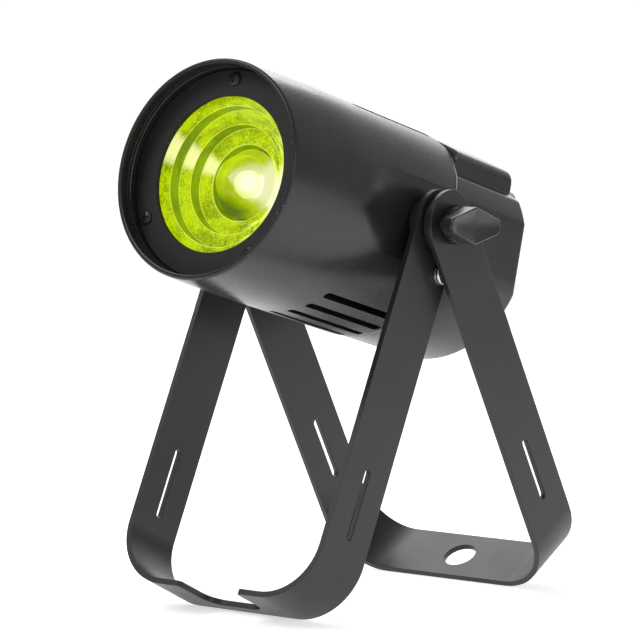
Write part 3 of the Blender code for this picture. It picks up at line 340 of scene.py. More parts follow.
def ring_place(finish):
    """Direction round the lamp's axis as its shares across and up, and the distance from it."""
    spot = finish.from_pivot()
    across = finish.dot(spot, Vector((1, 0, 0)))
    up = finish.dot(spot, UP)
    radius = (across * across + up * up) ** 0.5
    return across / radius, up / radius, radius


def lit_cup():
    """Stepped reflector glowing lime with the LED's light painted on: speckled painted glow on the ledges, painted
    highlights on their bright inner rims, painted shade on the darker walls, painted hot spots and hot painted
    reflection streaks.
    """
    finish = Finish("lit_lime_cup", Roughness=0.5, Emission_Strength=1.0, Specular_IOR_Level=0.12)
    normal = finish.node("NewGeometry", out="Normal")
    # forward-facing ledges take the painted glow, the walls take painted shade
    ledge = finish.ranged(finish.dot(normal, FORWARD), 0.35, 0.85)
    side, up, radius = ring_place(finish)
    speckle = finish.noise(1150.0, 3.0, 0.7)
    patches = finish.noise(95.0, 4.0, 0.65)
    swirl = finish.node("CombineXYZ", {}, {0: radius * 520.0, 1: side * 1.6, 2: up * 1.6})
    # painted reflection streaks of the LED across the ledges
    painted_reflection_streaks = finish.ranged(finish.noise(1.0, 2.0, 0.5, swirl), 0.50, 0.66)
    # painted hot spots: reflections of the LED on the left and on the right
    left_glow = finish.ranged(side * -0.944 + up * 0.33, 0.968, 1.0)
    right = side * 0.98 - up * 0.2
    right_glow = finish.ranged(right, 0.86, 0.99)
    # painted highlights along each ledge's inner rim
    rim_highlights = sum(finish.ranged((radius - (edge + 0.0001)).math("ABSOLUTE"), 0.00015, 0.00050, 0.75, 0.0)
               for edge in CUP_RADII)
    low = finish.mix(finish.ranged(patches, 0.38, 0.60), (0.18, 0.27, 0.0), (0.47, 0.62, 0.0))
    # speckled painted glow on the ledges
    sparkle = finish.mix(finish.ranged(speckle, 0.48, 0.74), low, (0.78, 0.92, 0.03))
    glow = finish.mix(rim_highlights, sparkle, (0.80, 0.92, 0.10))
    glow = finish.mix(left_glow * 0.9, glow, (1.0, 1.0, 0.42))
    glow = finish.mix(painted_reflection_streaks * finish.ranged(right, 0.2, 0.8), glow, (0.86, 0.96, 0.16))
    glow = finish.mix(right_glow * 0.85, glow, (1.0, 1.0, 0.70))
    # painted shade on the walls, turning to a painted highlight on their right side
    wall = finish.mix(finish.ranged(patches, 0.3, 0.7), (0.10, 0.17, 0.0), (0.22, 0.34, 0.0))
    lit_wall = finish.mix(finish.ranged(right, 0.55, 0.95), wall, (0.95, 1.0, 0.45))
    finish.set(Base_Color=(0.10, 0.13, 0.0))
    finish.set(Emission_Color=finish.mix(ledge, lit_wall, glow))
    finish.bump(speckle, 0.00008)
    return finish


def hot_core():
    """The lit emitter, nearly white."""
    finish = Finish("lit_core", Base_Color=(0.9, 1.0, 0.6), Roughness=0.4, Emission_Strength=1.6)
    patches = finish.noise(900.0, 2.0)
    finish.set(Emission_Color=finish.mix(finish.ranged(patches, 0.3, 0.7), (0.95, 1.0, 0.7), (1.0, 1.0, 0.95)))
    return finish


def glowing_dome():
    """Clear lime dome with the hot emitter's glow standing in it, with painted shade towards its lower left and a
    painted highlight on its right side.
    """
    finish = Finish("glowing_dome", Roughness=0.12, Emission_Strength=1.0, Specular_IOR_Level=0.3)
    side, up, radius = ring_place(finish)
    spot = finish.node("VectorMath", {"operation": "DISTANCE"},
                       {0: finish.place(), 1: LAMP @ Vector((0.0030, 0, 0.0700))}, "Value")
    middle = finish.node("VectorMath", {"operation": "DISTANCE"},
                         {0: finish.place(), 1: LAMP @ Vector((0, 0, 0.0667))}, "Value")
    shell = finish.ranged(middle, 0.0060, 0.0064)
    haze = finish.ranged(finish.noise(260.0, 2.0), 0.35, 0.75)
    # painted shade on the dome's lower left
    shade = finish.ranged(side * -0.6 - up * 0.8, 0.2, 1.0) * finish.ranged(radius, 0.006, 0.0112)
    tint = finish.mix(haze, (0.46, 0.60, 0.0), (0.62, 0.76, 0.01))
    tint = finish.mix(shade, tint, (0.06, 0.11, 0.0))
    # painted highlight on the dome's right side
    tint = finish.mix(finish.ranged(side, 0.55, 0.95), tint, (1.0, 1.0, 0.60))
    core = finish.mix(finish.ranged(spot, 0.0034, 0.0044), (1.0, 1.0, 0.97), (0.92, 1.0, 0.42))
    finish.set(Base_Color=(0.08, 0.10, 0.0), Emission_Color=finish.mix(shell, core, tint))
    finish.set(Alpha=1.0 - shell * (0.45 - shade * 0.35))
    return finish


def lens_glass():
    """Clear glass with the faintest smears."""
    finish = Finish("clear_glass", Base_Color=(0.98, 1.0, 0.95), Transmission_Weight=1.0, IOR=1.01,
                    Coat_Weight=0.12)
    smear = finish.noise(60.0, 2.0)
    finish.set(Roughness=finish.ranged(smear, 0.35, 0.75, 0.0, 0.06))
    return finish


finishes = make_finishes()
dome_finish = glowing_dome()


# ---------------------------------------------------------------- shape helpers
def softened(points, cut, steps=4, closed=True):
    """Outline with every corner turned into a small curve that starts this far from it."""
    made = []
    count = len(points)
    for index, point in enumerate(points):
        here = Vector(point)
        if not closed and index in (0, count - 1):
            made.append(tuple(here))
            continue
        before, after = Vector(points[index - 1]), Vector(points[(index + 1) % count])
        reach = min(cut, (before - here).length * 0.45, (after - here).length * 0.45)
        start = here + (before - here).normalized() * reach
        end = here + (after - here).normalized() * reach
        for step in range(steps + 1):
            share = step / steps
            place = start * (1 - share) ** 2 + here * (2 * share * (1 - share)) + end * share ** 2
            made.append(tuple(place))
    return made


def spun(outline, steps=STEPS_ROUND, closed=False):
    """Turn (radius, along) points about Z."""
    bm = bmesh.new()
    verts = [bm.verts.new((radius, 0, along)) for radius, along in outline]
    pairs = list(zip(verts, verts[1:])) + ([(verts[-1], verts[0])] if closed else [])
    edges = [bm.edges.new(pair) for pair in pairs]
    bmesh.ops.spin(bm, geom=verts + edges, cent=(0, 0, 0), axis=(0, 0, 1), angle=2 * pi, steps=steps,
                   use_merge=True)
    bmesh.ops.remove_doubles(bm, verts=bm.verts, dist=1e-7)
    bmesh.ops.recalc_face_normals(bm, faces=bm.faces)
    return bm


def raised(outline, start, end):
    """A flat outline of (x, y) points extruded along Z."""
    bm = bmesh.new()
    face = bm.faces.new([bm.verts.new((x, y, start)) for x, y in outline])
    moved = bmesh.ops.extrude_face_region(bm, geom=[face])["geom"]
    verts = [item for item in moved if isinstance(item, bmesh.types.BMVert)]
    bmesh.ops.translate(bm, verts=verts, vec=(0, 0, end - start))
    bmesh.ops.recalc_face_normals(bm, faces=bm.faces)
    return bm


def lofted(rings, closed=False):
    """Skin over rings of equal count; closed joins the last ring to the first, else both ends are capped."""
    bm = bmesh.new()
    loop = bmesh.ops.create_circle(bm, segments=len(rings[0]), radius=1.0)["verts"]
    first = edges = bm.edges[:]
    for vertex, place in zip(loop, rings[0]):
        vertex.co = place
    for ring in rings[1:] + ([rings[0]] if closed else []):
        made = bmesh.ops.extrude_edge_only(bm, edges=edges)["geom"]
        fresh = {item for item in made if isinstance(item, bmesh.types.BMVert)}
        following = []
        for old in loop:
            following += [edge.other_vert(old) for edge in old.link_edges if edge.other_vert(old) in fresh]
        loop = following
        for vertex, place in zip(loop, ring):
            vertex.co = place
        edges = [item for item in made if isinstance(item, bmesh.types.BMEdge)
                 and item.verts[0] in fresh and item.verts[1] in fresh]
    if closed:
        bmesh.ops.remove_doubles(bm, verts=bm.verts, dist=1e-7)
    else:
        bmesh.ops.holes_fill(bm, edges=first + edges, sides=0)
    bmesh.ops.recalc_face_normals(bm, faces=bm.faces)
    return bm


def bar(half_length, half_width, start, end):
    """A straight bar across the axis, for cutting a driver's slot."""
    return raised([(-half_length, -half_width), (half_length, -half_width), (half_length, half_width),
                   (-half_length, half_width)], start, end)


def crown(radius, base, rise, steps, first=1):
    """Outline of a dome from its edge to the axis, as (radius, along) points."""
    points = []
    for step in range(first, steps + 1):
        angle = pi / 2 * step / steps
        points.append((radius * cos(angle) if step < steps else 0.0, base + rise * sin(angle)))
    return points


def shifted(bm, matrix):
    """Move a mesh and hand it back."""
    bmesh.ops.transform(bm, matrix=matrix, verts=bm.verts)
    return bm


def joined(*parts):
    """Several meshes in one."""
    whole = bmesh.new()
    for part in parts:
        mesh = bpy.data.meshes.new("part")
        part.to_mesh(mesh)
        part.free()
        whole.from_mesh(mesh)
        bpy.data.meshes.remove(mesh)
    return whole


def scratch(bm, name):
    """A bmesh as a passing object."""
    mesh = bpy.data.meshes.new(name)
    bm.to_mesh(mesh)
    bm.free()
    item = bpy.data.objects.new(name, mesh)
    bpy.context.scene.collection.objects.link(item)
    return item


def carved(bm, cutters):
    """A mesh less a list of cutters that keep clear of each other."""
    body, tool = scratch(bm, "blank"), scratch(joined(*cutters), "cutter")
    modifier = body.modifiers.new("cut", "BOOLEAN")
    modifier.operation = "DIFFERENCE"
    modifier.solver = "EXACT"
    modifier.object = tool
    bpy.context.view_layer.update()
    mesh = bpy.data.meshes.new_from_object(body.evaluated_get(bpy.context.evaluated_depsgraph_get()))
    result = bmesh.new()
    result.from_mesh(mesh)
    for item in (body, tool):
        leftover = item.data
        bpy.data.objects.remove(item)
        bpy.data.meshes.remove(leftover)
    bpy.data.meshes.remove(mesh)
    bmesh.ops.remove_doubles(result, verts=result.verts, dist=1e-6)
    return result


def edged(bm, width, angle=40.0, segments=2):
    """Round every edge that turns by more than the angle."""
    sharp = [edge for edge in bm.edges
             if len(edge.link_faces) == 2 and edge.calc_face_angle() > radians(angle)]
    bmesh.ops.bevel(bm, geom=sharp, offset=width, offset_type="OFFSET", affect="EDGES", segments=segments,
                    profile=0.5, material=-1, clamp_overlap=True)
    return bm


def piece(name, bm, body, slot, *nodes, finish=None, matrix=None, smooth=38.0, weighted=True):
    """Turn a bmesh into a finished piece that stands for CAD nodes and rides on their body."""
    if matrix:
        shifted(bm, matrix)
    mesh = bpy.data.meshes.new(name)
    bm.to_mesh(mesh)
    bm.free()
    mesh.shade_smooth()
    mesh.set_sharp_from_angle(angle=radians(smooth))
    item = bpy.data.objects.new(name, mesh)
    bpy.context.scene.collection.objects.link(item)
    mesh.materials.append((finish or finishes[slot]).material)
    if weighted:
        normals = item.modifiers.new("face_weight", "WEIGHTED_NORMAL")
        normals.keep_sharp = True
        normals.weight = 80
    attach(item, body)
    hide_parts(*nodes)
    return item


def copy_of(node):
    """The node's mesh, merged, with its flat faces whole again."""
    bm = bmesh.new()
    bm.from_mesh(frame["nodes"][node].data)
    bmesh.ops.remove_doubles(bm, verts=bm.verts, dist=1e-6)
    bmesh.ops.dissolve_limit(bm, angle_limit=radians(0.6), verts=bm.verts, edges=bm.edges,
                             use_dissolve_boundaries=False)
    return bm


def eased(node, body, slot, width):
    """The node itself with its edges eased."""
    return piece(node + "_eased", edged(copy_of(node), width), body, slot, node)


# ---------------------------------------------------------------- lamp shells
def seam_shift(up):
    """How far the seam has slanted back at this height."""
    share = min(max((up - SEAM_BREAK_UP) / (SEAM_TOP_UP - SEAM_BREAK_UP), 0.0), 1.0)
    return (SEAM_BACK - SEAM) * share


def soft_min(first, second, width):
    """The smaller of two sizes, blended over a width."""
    share = max(width - abs(first - second), 0.0) / width
    return min(first, second) - share * share * width / 4


def flat_at(forward, flat):
    """Half width across the side flats at this station."""
    run = max(forward - FLAT_FRONT, 0.0) / FLAT_RUNOUT
    return flat + FLAT_RUNOUT * (1 - sqrt(1 - min(run, 0.98) ** 2))


def angles_round():
    """Angles from the X axis, evenly spaced, with extra ones beside each crease."""
    crease = acos(FLAT / BARREL)
    found = set()
    for index in range(STEPS_ROUND):
        found.add(round(2 * pi * index / STEPS_ROUND, 5))
    for middle in (crease, pi - crease, pi + crease, 2 * pi - crease):
        for offset in (-0.012, -0.004, 0.0, 0.004, 0.012):
            found.add(round(middle + offset, 5))
    kept = []
    for angle in sorted(found):
        if not kept or angle - kept[-1] > 0.0025:
            kept.append(angle)
    return kept


ANGLES = angles_round()


def barrel_ring(radius, forward, flat, slant=0.0):
    """One ring of the barrel, slanted by a share of the seam's slant."""
    limit = flat_at(forward, flat)
    width = 0.0004 + 0.0016 * min(max(forward - FLAT_FRONT, 0.0) / 0.016, 1.0)
    ring = []
    for angle in ANGLES:
        along = abs(cos(angle))
        reach = soft_min(radius, limit / max(along, 1e-6), width)
        up = reach * sin(angle)
        ring.append(Vector((reach * cos(angle), up, forward + slant * seam_shift(up))))
    return ring


def taper(forward):
    """Outer radius of the barrel at this station."""
    share = min(max((forward - TAPER_START) / (RIM_FORWARD - TAPER_START), 0.0), 1.0)
    return BARREL - (BARREL - RIM) * (1 - cos(share * pi / 2))


def rounded_slot(half_width, half_length):
    """Long slot outline with round ends, about the origin."""
    straight = half_length - half_width
    return [(end * x, end * (straight + y)) for end in (1, -1) for x, y in arc_points(half_width, 0, pi, 8)]


def vent_cutters(count, first, start, length):
    """Cutters for a fan of slots about the lamp's axis."""
    cutters = []
    for index in range(count):
        angle = first + (index - (count - 1) / 2) * VENT_PITCH
        slot = raised(rounded_slot(VENT_WIDTH / 2, length / 2), CAVITY * 0.88, BARREL * 1.1)
        stand = basis(Vector((-cos(angle), sin(angle), 0)), Vector((0, 0, 1)),
                      Vector((sin(angle), cos(angle), 0)), Vector((0, 0, start + length / 2)))
        cutters.append(shifted(slot, stand))
    return cutters


def front_housing():
    """Barrel: outside from the seam to the rim, round the lip and back along the bore."""
    seat = extent("face_plate")[0].z - GAP
    lip, soft = 0.0011, 0.00035
    rings = [barrel_ring(BARREL - soft, SEAM, FLAT - soft, 1.0), barrel_ring(BARREL, SEAM + soft, FLAT, 1.0)]
    for station in (-0.014, -0.008, 0.0, 0.008, SLANT_END):
        rings.append(barrel_ring(BARREL, station, FLAT, max(0.0, (SLANT_END - station) / 0.030)))
    for index in range(1, 28):
        station = SLANT_END + (RIM_FORWARD - lip - SLANT_END) * index / 27
        rings.append(barrel_ring(taper(station), station, FLAT))
    for step in range(1, 7):
        angle = pi / 2 * step / 6
        rings.append(barrel_ring(RIM - lip * (1 - cos(angle)), RIM_FORWARD - lip + lip * sin(angle), 1.0))
    rings.append(barrel_ring(FRONT_BORE + 0.0005, RIM_FORWARD, 1.0))
    rings.append(barrel_ring(FRONT_BORE + 0.00015, RIM_FORWARD - 0.00015, 1.0))
    for drop in (0.0005, 0.0040, 0.0044, 0.0048, 0.0060, 0.0063, 0.0066):
        groove = 0.00022 if drop in (0.0044, 0.0063) else 0.0
        rings.append(barrel_ring(FRONT_BORE + groove, RIM_FORWARD - drop, 1.0))
    rings.append(barrel_ring(FRONT_BORE, seat, 1.0))
    rings.append(barrel_ring(CAVITY, seat, 1.0))
    for station in (0.070, 0.058, 0.050, 0.044, 0.038, 0.032, 0.026, 0.022, 0.0):
        rings.append(barrel_ring(CAVITY, station, CAVITY_FLAT))
    rings.append(barrel_ring(CAVITY, SEAM + 0.0003, CAVITY_FLAT, 1.0))
    rings.append(barrel_ring(CAVITY, SEAM, CAVITY_FLAT, 1.0))
    bm = lofted(rings, closed=True)
    cutters = vent_cutters(7, pi, SEAM + 0.0025, 0.052) + vent_cutters(5, 0.0, SEAM_BACK + 0.0025, 0.056)
    for side in (1, -1):
        drill = spun([(0, 0), (BUSH_HOLE, 0), (BUSH_HOLE, 0.02), (0, 0.02)], 48)
        across = basis(Vector((0, 1, 0)), Vector((0, 0, side)), Vector((side, 0, 0)),
                       Vector((side * 0.035, 0, 0)))
        cutters.append(shifted(drill, across))
    bm = carved(bm, cutters)
    edged(bm, 0.00025, 55.0, 2)
    return piece("front_housing_shell", bm, "lamp", "housing", "front_housing", matrix=LAMP, smooth=32.0)


def cover_profile(inset):
    """Right half of the rear cover's stepped section as a list of (x, up), bottom to top."""
    radius, flat = REAR - inset, FLAT - inset
    crease = acos(flat / radius)
    wall = STEP_WALL - inset
    ledge = STEP_UP - inset * (hypot(1, LEDGE_DROP) - LEDGE_DROP)
    level = ledge + wall * LEDGE_DROP
    square = 1 + LEDGE_DROP ** 2
    foot = (level * LEDGE_DROP + sqrt(square * radius ** 2 - level ** 2)) / square
    start = atan2(level - foot * LEDGE_DROP, foot) - 0.06
    points = arc_points(radius, -pi / 2, -crease, 26)
    points += [(flat, radius * sin(crease) * share) for share in (-0.6, -0.2, 0.2, 0.6)]
    points += arc_points(radius, crease, start, 9)
    middle = STEP_WALL - TOP_CORNER
    turn_up = (REAR - TOP_CORNER - middle * sin(TOP_SLOPE)) / cos(TOP_SLOPE)
    meeting = (foot, level - foot * LEDGE_DROP)
    points += softened([points[-1], meeting, (wall, ledge)], 0.0028, 7, closed=False)[1:-1]
    points += softened([points[-1], (wall, ledge), (wall, turn_up)], 0.0009, 4, closed=False)[1:-1]
    corner = arc_points(TOP_CORNER - inset, 0, pi / 2 - TOP_SLOPE, 12)
    points += [(middle + x, turn_up + up) for x, up in corner]
    last, tangent = Vector(points[-1]), Vector((radius * sin(TOP_SLOPE), radius * cos(TOP_SLOPE)))
    points += [tuple(last.lerp(tangent, share)) for share in (0.2, 0.4, 0.6, 0.8, 0.9)]
    return points + arc_points(radius, pi / 2 - TOP_SLOPE, pi / 2, 15)


def arc_points(radius, start, end, steps):
    """Points round the origin from one angle to another."""
    angles = [start + (end - start) * step / steps for step in range(steps + 1)]
    return [(radius * cos(angle), radius * sin(angle)) for angle in angles]


def cover_slant(forward):
    """Share of the seam's slant that the cover still has at this station."""
    return max(0.0, (forward + 0.066) / 0.046)


def cover_ring(inset, stepped, forward, slant, shrink=0.0):
    """The whole section as a ring at one station; unstepped, it follows the round body."""
    half = cover_profile(inset)
    whole = half + [(-x, up) for x, up in half[-2:0:-1]]
    ring = []
    for x, up in whole:
        factor = 1 - shrink / REAR
        if not stepped and up > ROUND_BELOW:
            factor *= (REAR - inset) / hypot(x, up)
        ring.append(Vector((x * factor, up * factor, forward + slant * seam_shift(up))))
    return ring


def rear_housing():
    """Rear cover: a narrow land behind the seam, then the stepped body, open at both ends."""
    start = SEAM - GROOVE
    land = SEAM - STEP_LAND
    rings = [cover_ring(0.0, False, start, 1.0, 0.0005), cover_ring(0.0, False, start - 0.0004, 1.0),
             cover_ring(0.0, False, land + 0.0005, 1.0), cover_ring(0.0, False, land + 0.0001, 1.0, 0.0004),
             cover_ring(0.0, True, land, 1.0)]
    for station in (-0.024, -0.032, -0.040, -0.048, -0.056, -0.064, -0.070):
        rings.append(cover_ring(0.0, True, station, cover_slant(station)))
    for along, up in arc_points(REAR_BEND, 0, pi / 2, 5):
        rings.append(cover_ring(0.0, True, REAR_END + REAR_BEND - up, 0.0, REAR_BEND - along))
    rings.append(cover_ring(REAR_WALL, True, REAR_END, 0.0))
    for station in (-0.060, -0.040, -0.026):
        rings.append(cover_ring(REAR_WALL, True, station, cover_slant(station)))
    rings.append(cover_ring(REAR_WALL, True, land - REAR_WALL, 1.0))
    rings.append(cover_ring(REAR_WALL, True, start, 1.0))
    bm = lofted(rings, closed=True)
    return piece("rear_housing_cover", bm, "lamp", "housing", "rear_housing", matrix=LAMP, smooth=50.0)


# ---------------------------------------------------------------- brackets
def strap_lengths(outer, reach):
    """Lengths of an arm, a bend and the foot of the strap, and of the whole strap laid flat."""
    arm, turn, foot = reach - BEND, BEND * pi / 2, 2 * (outer - BEND)
    return arm, turn, foot, 2 * arm + 2 * turn + foot


def strap_place(along, across, depth, outer, reach):
    """Where a point of the flat strap lies once bent: along from the near pivot, across, and in from outside."""
    arm, turn, _, total = strap_lengths(outer, reach)
    side = 1
    if along > total / 2:
        along, side = total - along, -1
    if along <= arm:
        x, z = outer - depth, -along
    elif along <= arm + turn:
        angle = (along - arm) / BEND
        x = outer - BEND + (BEND - depth) * cos(angle)
        z = -arm - (BEND - depth) * sin(angle)
    else:
        x, z = outer - BEND - (along - arm - turn), -reach + depth
    return Vector((side * x, across, z))


def circle_outline(radius, along, across, steps=40):
    """Points round a hole."""
    return [(along + radius * cos(2 * pi * step / steps), across + radius * sin(2 * pi * step / steps))
            for step in range(steps)]


def bracket(name, reach, lean, extra_holes, notch):
    """Cut the strap flat with its slots and holes, ease its edges, then bend it."""
    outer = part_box(name)[1].x
    arm, turn, foot, total = strap_lengths(outer, reach)
    outline = arc_points(STRAP_HALF, pi / 2, 3 * pi / 2, 24)
    if notch:
        left, right, inner = total / 2 - NOTCH_HALF, total / 2 + NOTCH_HALF, NOTCH_DEPTH - STRAP_HALF
        corners = [(left - 0.006, -STRAP_HALF), (left, -STRAP_HALF), (left, inner), (right, inner),
                   (right, -STRAP_HALF), (right + 0.006, -STRAP_HALF)]
        mouth_steps, deep_steps = 4, 8
        mouth = softened(corners, 0.0024, mouth_steps, closed=False)
        deep = softened(corners, 0.0090, deep_steps, closed=False)
        lead, corner = mouth_steps + 2, deep_steps + 1
        outline += mouth[:lead] + deep[1 + corner:1 + 3 * corner] + mouth[-lead:]
    outline += [(total + x, y) for x, y in arc_points(STRAP_HALF, -pi / 2, pi / 2, 24)]
    holes = []
    for centre in (SLOT_ALONG, total - SLOT_ALONG):
        slot = rounded_slot(SLOT_HALF_WIDTH, SLOT_HALF_LENGTH)
        holes.append([(centre + along, across) for across, along in slot])
    for centre in (0.0, total):
        holes.append(circle_outline(PIVOT_BORE, centre, 0.0, 24))
    for along, across, radius in extra_holes:
        holes.append(circle_outline(radius, along, across))
    bm = raised(outline, 0.0, STRAP)
    cutters = [raised(hole, -0.001, STRAP + 0.001) for hole in holes]
    bm = carved(bm, cutters)
    edged(bm, 0.00035, 60.0, 3)
    cuts = []
    for start in (arm, arm + turn + foot):
        cuts += [start + turn * step / 18 for step in range(19)]
    cuts += [arm * share for share in (0.35, 0.7)] + [total - arm * share for share in (0.35, 0.7)]
    for cut in cuts:
        bmesh.ops.bisect_plane(bm, geom=bm.verts[:] + bm.edges[:] + bm.faces[:], plane_co=(cut, 0, 0),
                               plane_no=(1, 0, 0), dist=1e-7)
    for vertex in bm.verts:
        along, across, depth = vertex.co
        vertex.co = strap_place(along, across, depth, outer, reach)
    bmesh.ops.recalc_face_normals(bm, faces=bm.faces)
    return piece(name + "_strap", bm, name, "bracket", name, matrix=leaned(lean), smooth=40.0)


# ---------------------------------------------------------------- pivot pieces
def washer(name, slot, matrix, start, end, radius):
    """A washer or spacer on the pivot axis."""
    corners = [(PIVOT_BORE, start), (radius, start), (radius, end), (PIVOT_BORE, end)]
    outline = softened(corners, 0.0005, 3)
    return piece(name + "_ring", spun(outline, 96, closed=True), "lamp", slot, name, matrix=matrix)


def wing_ring(half, depth, height):
    """Rounded rhombus of the knob's wing at one height, long way along local Y."""
    nose = min(0.0036, depth * 0.46)
    tip, crown = half - nose, depth - nose
    slope = atan2(crown, tip)
    ring = []
    for x, y, start, end in ((crown, 0, -slope, slope), (0, tip, slope, pi - slope),
                             (-crown, 0, pi - slope, pi + slope), (0, -tip, pi + slope, 2 * pi - slope)):
        ring += [(x + a, y + b) for a, b in arc_points(nose, start, end, 9)]
    full = []
    for index, place in enumerate(ring):
        full.append(Vector((*place, height)))
        if index % 10 == 9:
            following = Vector(ring[(index + 1) % len(ring)])
            full += [Vector((*Vector(place).lerp(following, share), height)) for share in (0.25, 0.5, 0.75)]
    return full


def knob(side):
    """Wing knob: a fluted hub under a wing that widens outwards and has a dished face."""
    name = "knob_near" if side > 0 else "knob_far"
    matrix = (NEAR if side > 0 else FAR) @ Matrix.Rotation(side * KNOB_TURN, 4, "Z")
    low, high = extent(name, matrix)
    base, top = low.z, high.z
    half, depth = high.y, KNOB_DEPTH
    middle = base + 0.0035
    shape = [(0.70, 0.74, middle - 0.0008), (0.765, 0.90, middle + 0.0001), (0.805, 0.975, middle + 0.0012),
             (0.85, 1.0, middle + 0.0030), (0.985, 1.0, top - 0.0014), (0.996, 0.995, top - 0.0007),
             (0.988, 0.975, top - 0.0002), (0.962, 0.925, top), (0.935, 0.87, top - 0.0002),
             (0.80, 0.70, top - 0.0009), (0.50, 0.42, top - 0.0016), (0.20, 0.20, top - 0.0018),
             (0.04, 0.06, top - 0.0018)]
    wing = lofted([wing_ring(half * share, depth * tall, height) for share, tall, height in shape])
    flutes = []
    for height, scale in ((base, 0.94), (base + 0.0004, 1.0), (middle, 1.0), (middle + 0.0012, 0.98),
                          (middle + 0.002, 0.9)):
        ring = []
        for index in range(144):
            angle = 2 * pi * index / 144
            reach = (HUB_RADIUS + FLUTE_DEPTH * cos(24 * angle)) * scale
            ring.append(Vector((reach * cos(angle), reach * sin(angle), height)))
        flutes.append(ring)
    bm = joined(wing, lofted(flutes))
    return piece(name + "_wing", bm, name, "knob_plastic", name, matrix=matrix, smooth=50.0, weighted=False)


def stop_screw():
    """Bright pan head with its washer, on the near front arm."""
    seat = extent("stop_washer", NEAR)
    head = extent("stop_screw", NEAR)
    stand = NEAR @ Matrix.Translation(middle_of(*seat))
    rim, under, upper = 0.0051, seat[0].z, seat[1].z
    thick = softened([(STOP_BORE, under), (rim, under), (rim, upper), (STOP_BORE, upper)], 0.0002, 2)
    piece("stop_washer_ring", spun(thick, 64, closed=True), "front_bracket", "bright_steel", "stop_washer",
          matrix=stand)
    low, high, tip = upper + GAP, head[1].z, head[0].z
    outline = [(0, tip), (0.002, tip), (0.002, low), (STOP_HEAD - 0.0002, low), (STOP_HEAD, low + 0.0002)]
    outline += crown(STOP_HEAD, low + 0.0002, high - low - 0.0002, 8)
    bm = carved(spun(outline, 64), [bar(0.0020, 0.0004, high - 0.0007, high + 0.001)])
    piece("stop_screw_head", bm, "front_bracket", "bright_steel", "stop_screw", matrix=stand)


# ---------------------------------------------------------------- optics
def cross_head(name):
    """Cross-recessed pan head where the node's screw is; the axis is the lamp's."""
    low, high = extent(name)
    facing = 1 if high.z > 0 else -1
    radius = (high.x - low.x) / 2
    tip, top = (low.z, high.z) if facing > 0 else (high.z, low.z)
    under = top - facing * 0.0012
    outline = [(0, tip), (0.0011, tip), (0.0013, tip + facing * 0.0003), (0.0013, under),
               (radius * 0.95, under), (radius, under + facing * 0.00025)]
    outline += crown(radius, under + facing * 0.00025, facing * 0.00095, 7)
    bm = spun(outline, 48)
    arm, half = radius * 0.58, 0.00038
    shape = [(arm, half), (half, half), (half, arm), (-half, arm), (-half, half), (-arm, half),
             (-arm, -half), (-half, -half), (-half, -arm), (half, -arm), (half, -half), (arm, -half)]
    bm = carved(bm, [raised(shape, *sorted((top - facing * 0.0008, top + facing * 0.001)))])
    edged(bm, 0.00006, 50.0, 1)
    turn = Matrix.Rotation(radians(17 + 31 * len(name) + 53 * int(name[-1])), 4, "Z")
    stand = LAMP @ Matrix.Translation(middle_of(low, high)) @ turn
    return piece(name + "_head", bm, "lamp", "black_screw", name, matrix=stand)


def face_plate():
    """Flat ring round the lens with a bright-edged bore and three screw holes."""
    low, high = extent("face_plate")
    opening = LENS_OPENING
    outline = [(opening + 0.0004, low.z), (high.x, low.z), (high.x, high.z - 0.0002), (high.x - 0.0002, high.z),
               (opening + 0.0009, high.z), (opening + 0.0003, high.z - 0.0002), (opening, high.z - 0.0007),
               (opening, low.z + 0.0003)]
    bm = spun(outline, 192, closed=True)
    drills = []
    for index in (1, 2, 3):
        centre = Matrix.Translation(middle_of(*extent(f"face_screw_{index}")))
        drills.append(shifted(spun([(0, 0.07), (0.00135, 0.07), (0.00135, 0.1), (0, 0.1)], 24), centre))
    return piece("face_plate_ring", carved(bm, drills), "lamp", "face_plate", "face_plate", matrix=LAMP)


def stepped_cup():
    """Reflector with crisp ledges whose inner edges carry a fine bead."""
    low, high = extent("stepped_cup")
    front, back = high.z, low.z
    flange, outside = front - 0.0028, CUP_RADII[0] + 0.0022
    outline = [(high.x, flange), (high.x, front)]
    level = front
    for radius in CUP_RADII[:2]:
        below = level - CUP_STEP
        outline += [(radius + 0.0007, level), (radius + 0.00045, level + 0.00012),
                    (radius + 0.00015, level + 0.00008), (radius, level - 0.0003), (radius, below + 0.0004),
                    (radius - 0.0004, below)]
        level = below
    inner = CUP_RADII[2]
    outline += [(inner + 0.0007, level), (inner + 0.00045, level + 0.00012), (inner, level - 0.0003),
                (inner, back), (inner + 0.003, back), (outside, level - 0.003), (outside, flange)]
    return piece("stepped_cup_ring", spun(outline, 192, closed=True), "lamp", "lit_cup", "stepped_cup",
                 matrix=LAMP, smooth=30.0)


def dome():
    """Dome over the emitter, with its foot ring and the small hot dome inside it."""
    low, high = extent("dome_lens")
    foot, base = high.x, low.z
    shoulder = high.z - DOME_HEIGHT
    outline = [(0, base), (foot, base), (foot, base + 0.0013), (foot - 0.0003, base + 0.0016),
               (DOME_RADIUS + 0.0003, base + 0.0016), (DOME_RADIUS, base + 0.0019), (DOME_RADIUS, shoulder)]
    outline += crown(DOME_RADIUS, shoulder, DOME_HEIGHT, 24)
    core = [(0, base + 0.0002), (CORE_RADIUS, base + 0.0002)]
    core += crown(CORE_RADIUS, base + 0.0006, CORE_RADIUS, 16, first=0)
    return piece("dome_lens_moulding", joined(spun(outline, 128), spun(core, 96)), "lamp", "lens_glass",
                 "dome_lens", matrix=LAMP, finish=dome_finish, smooth=30.0)


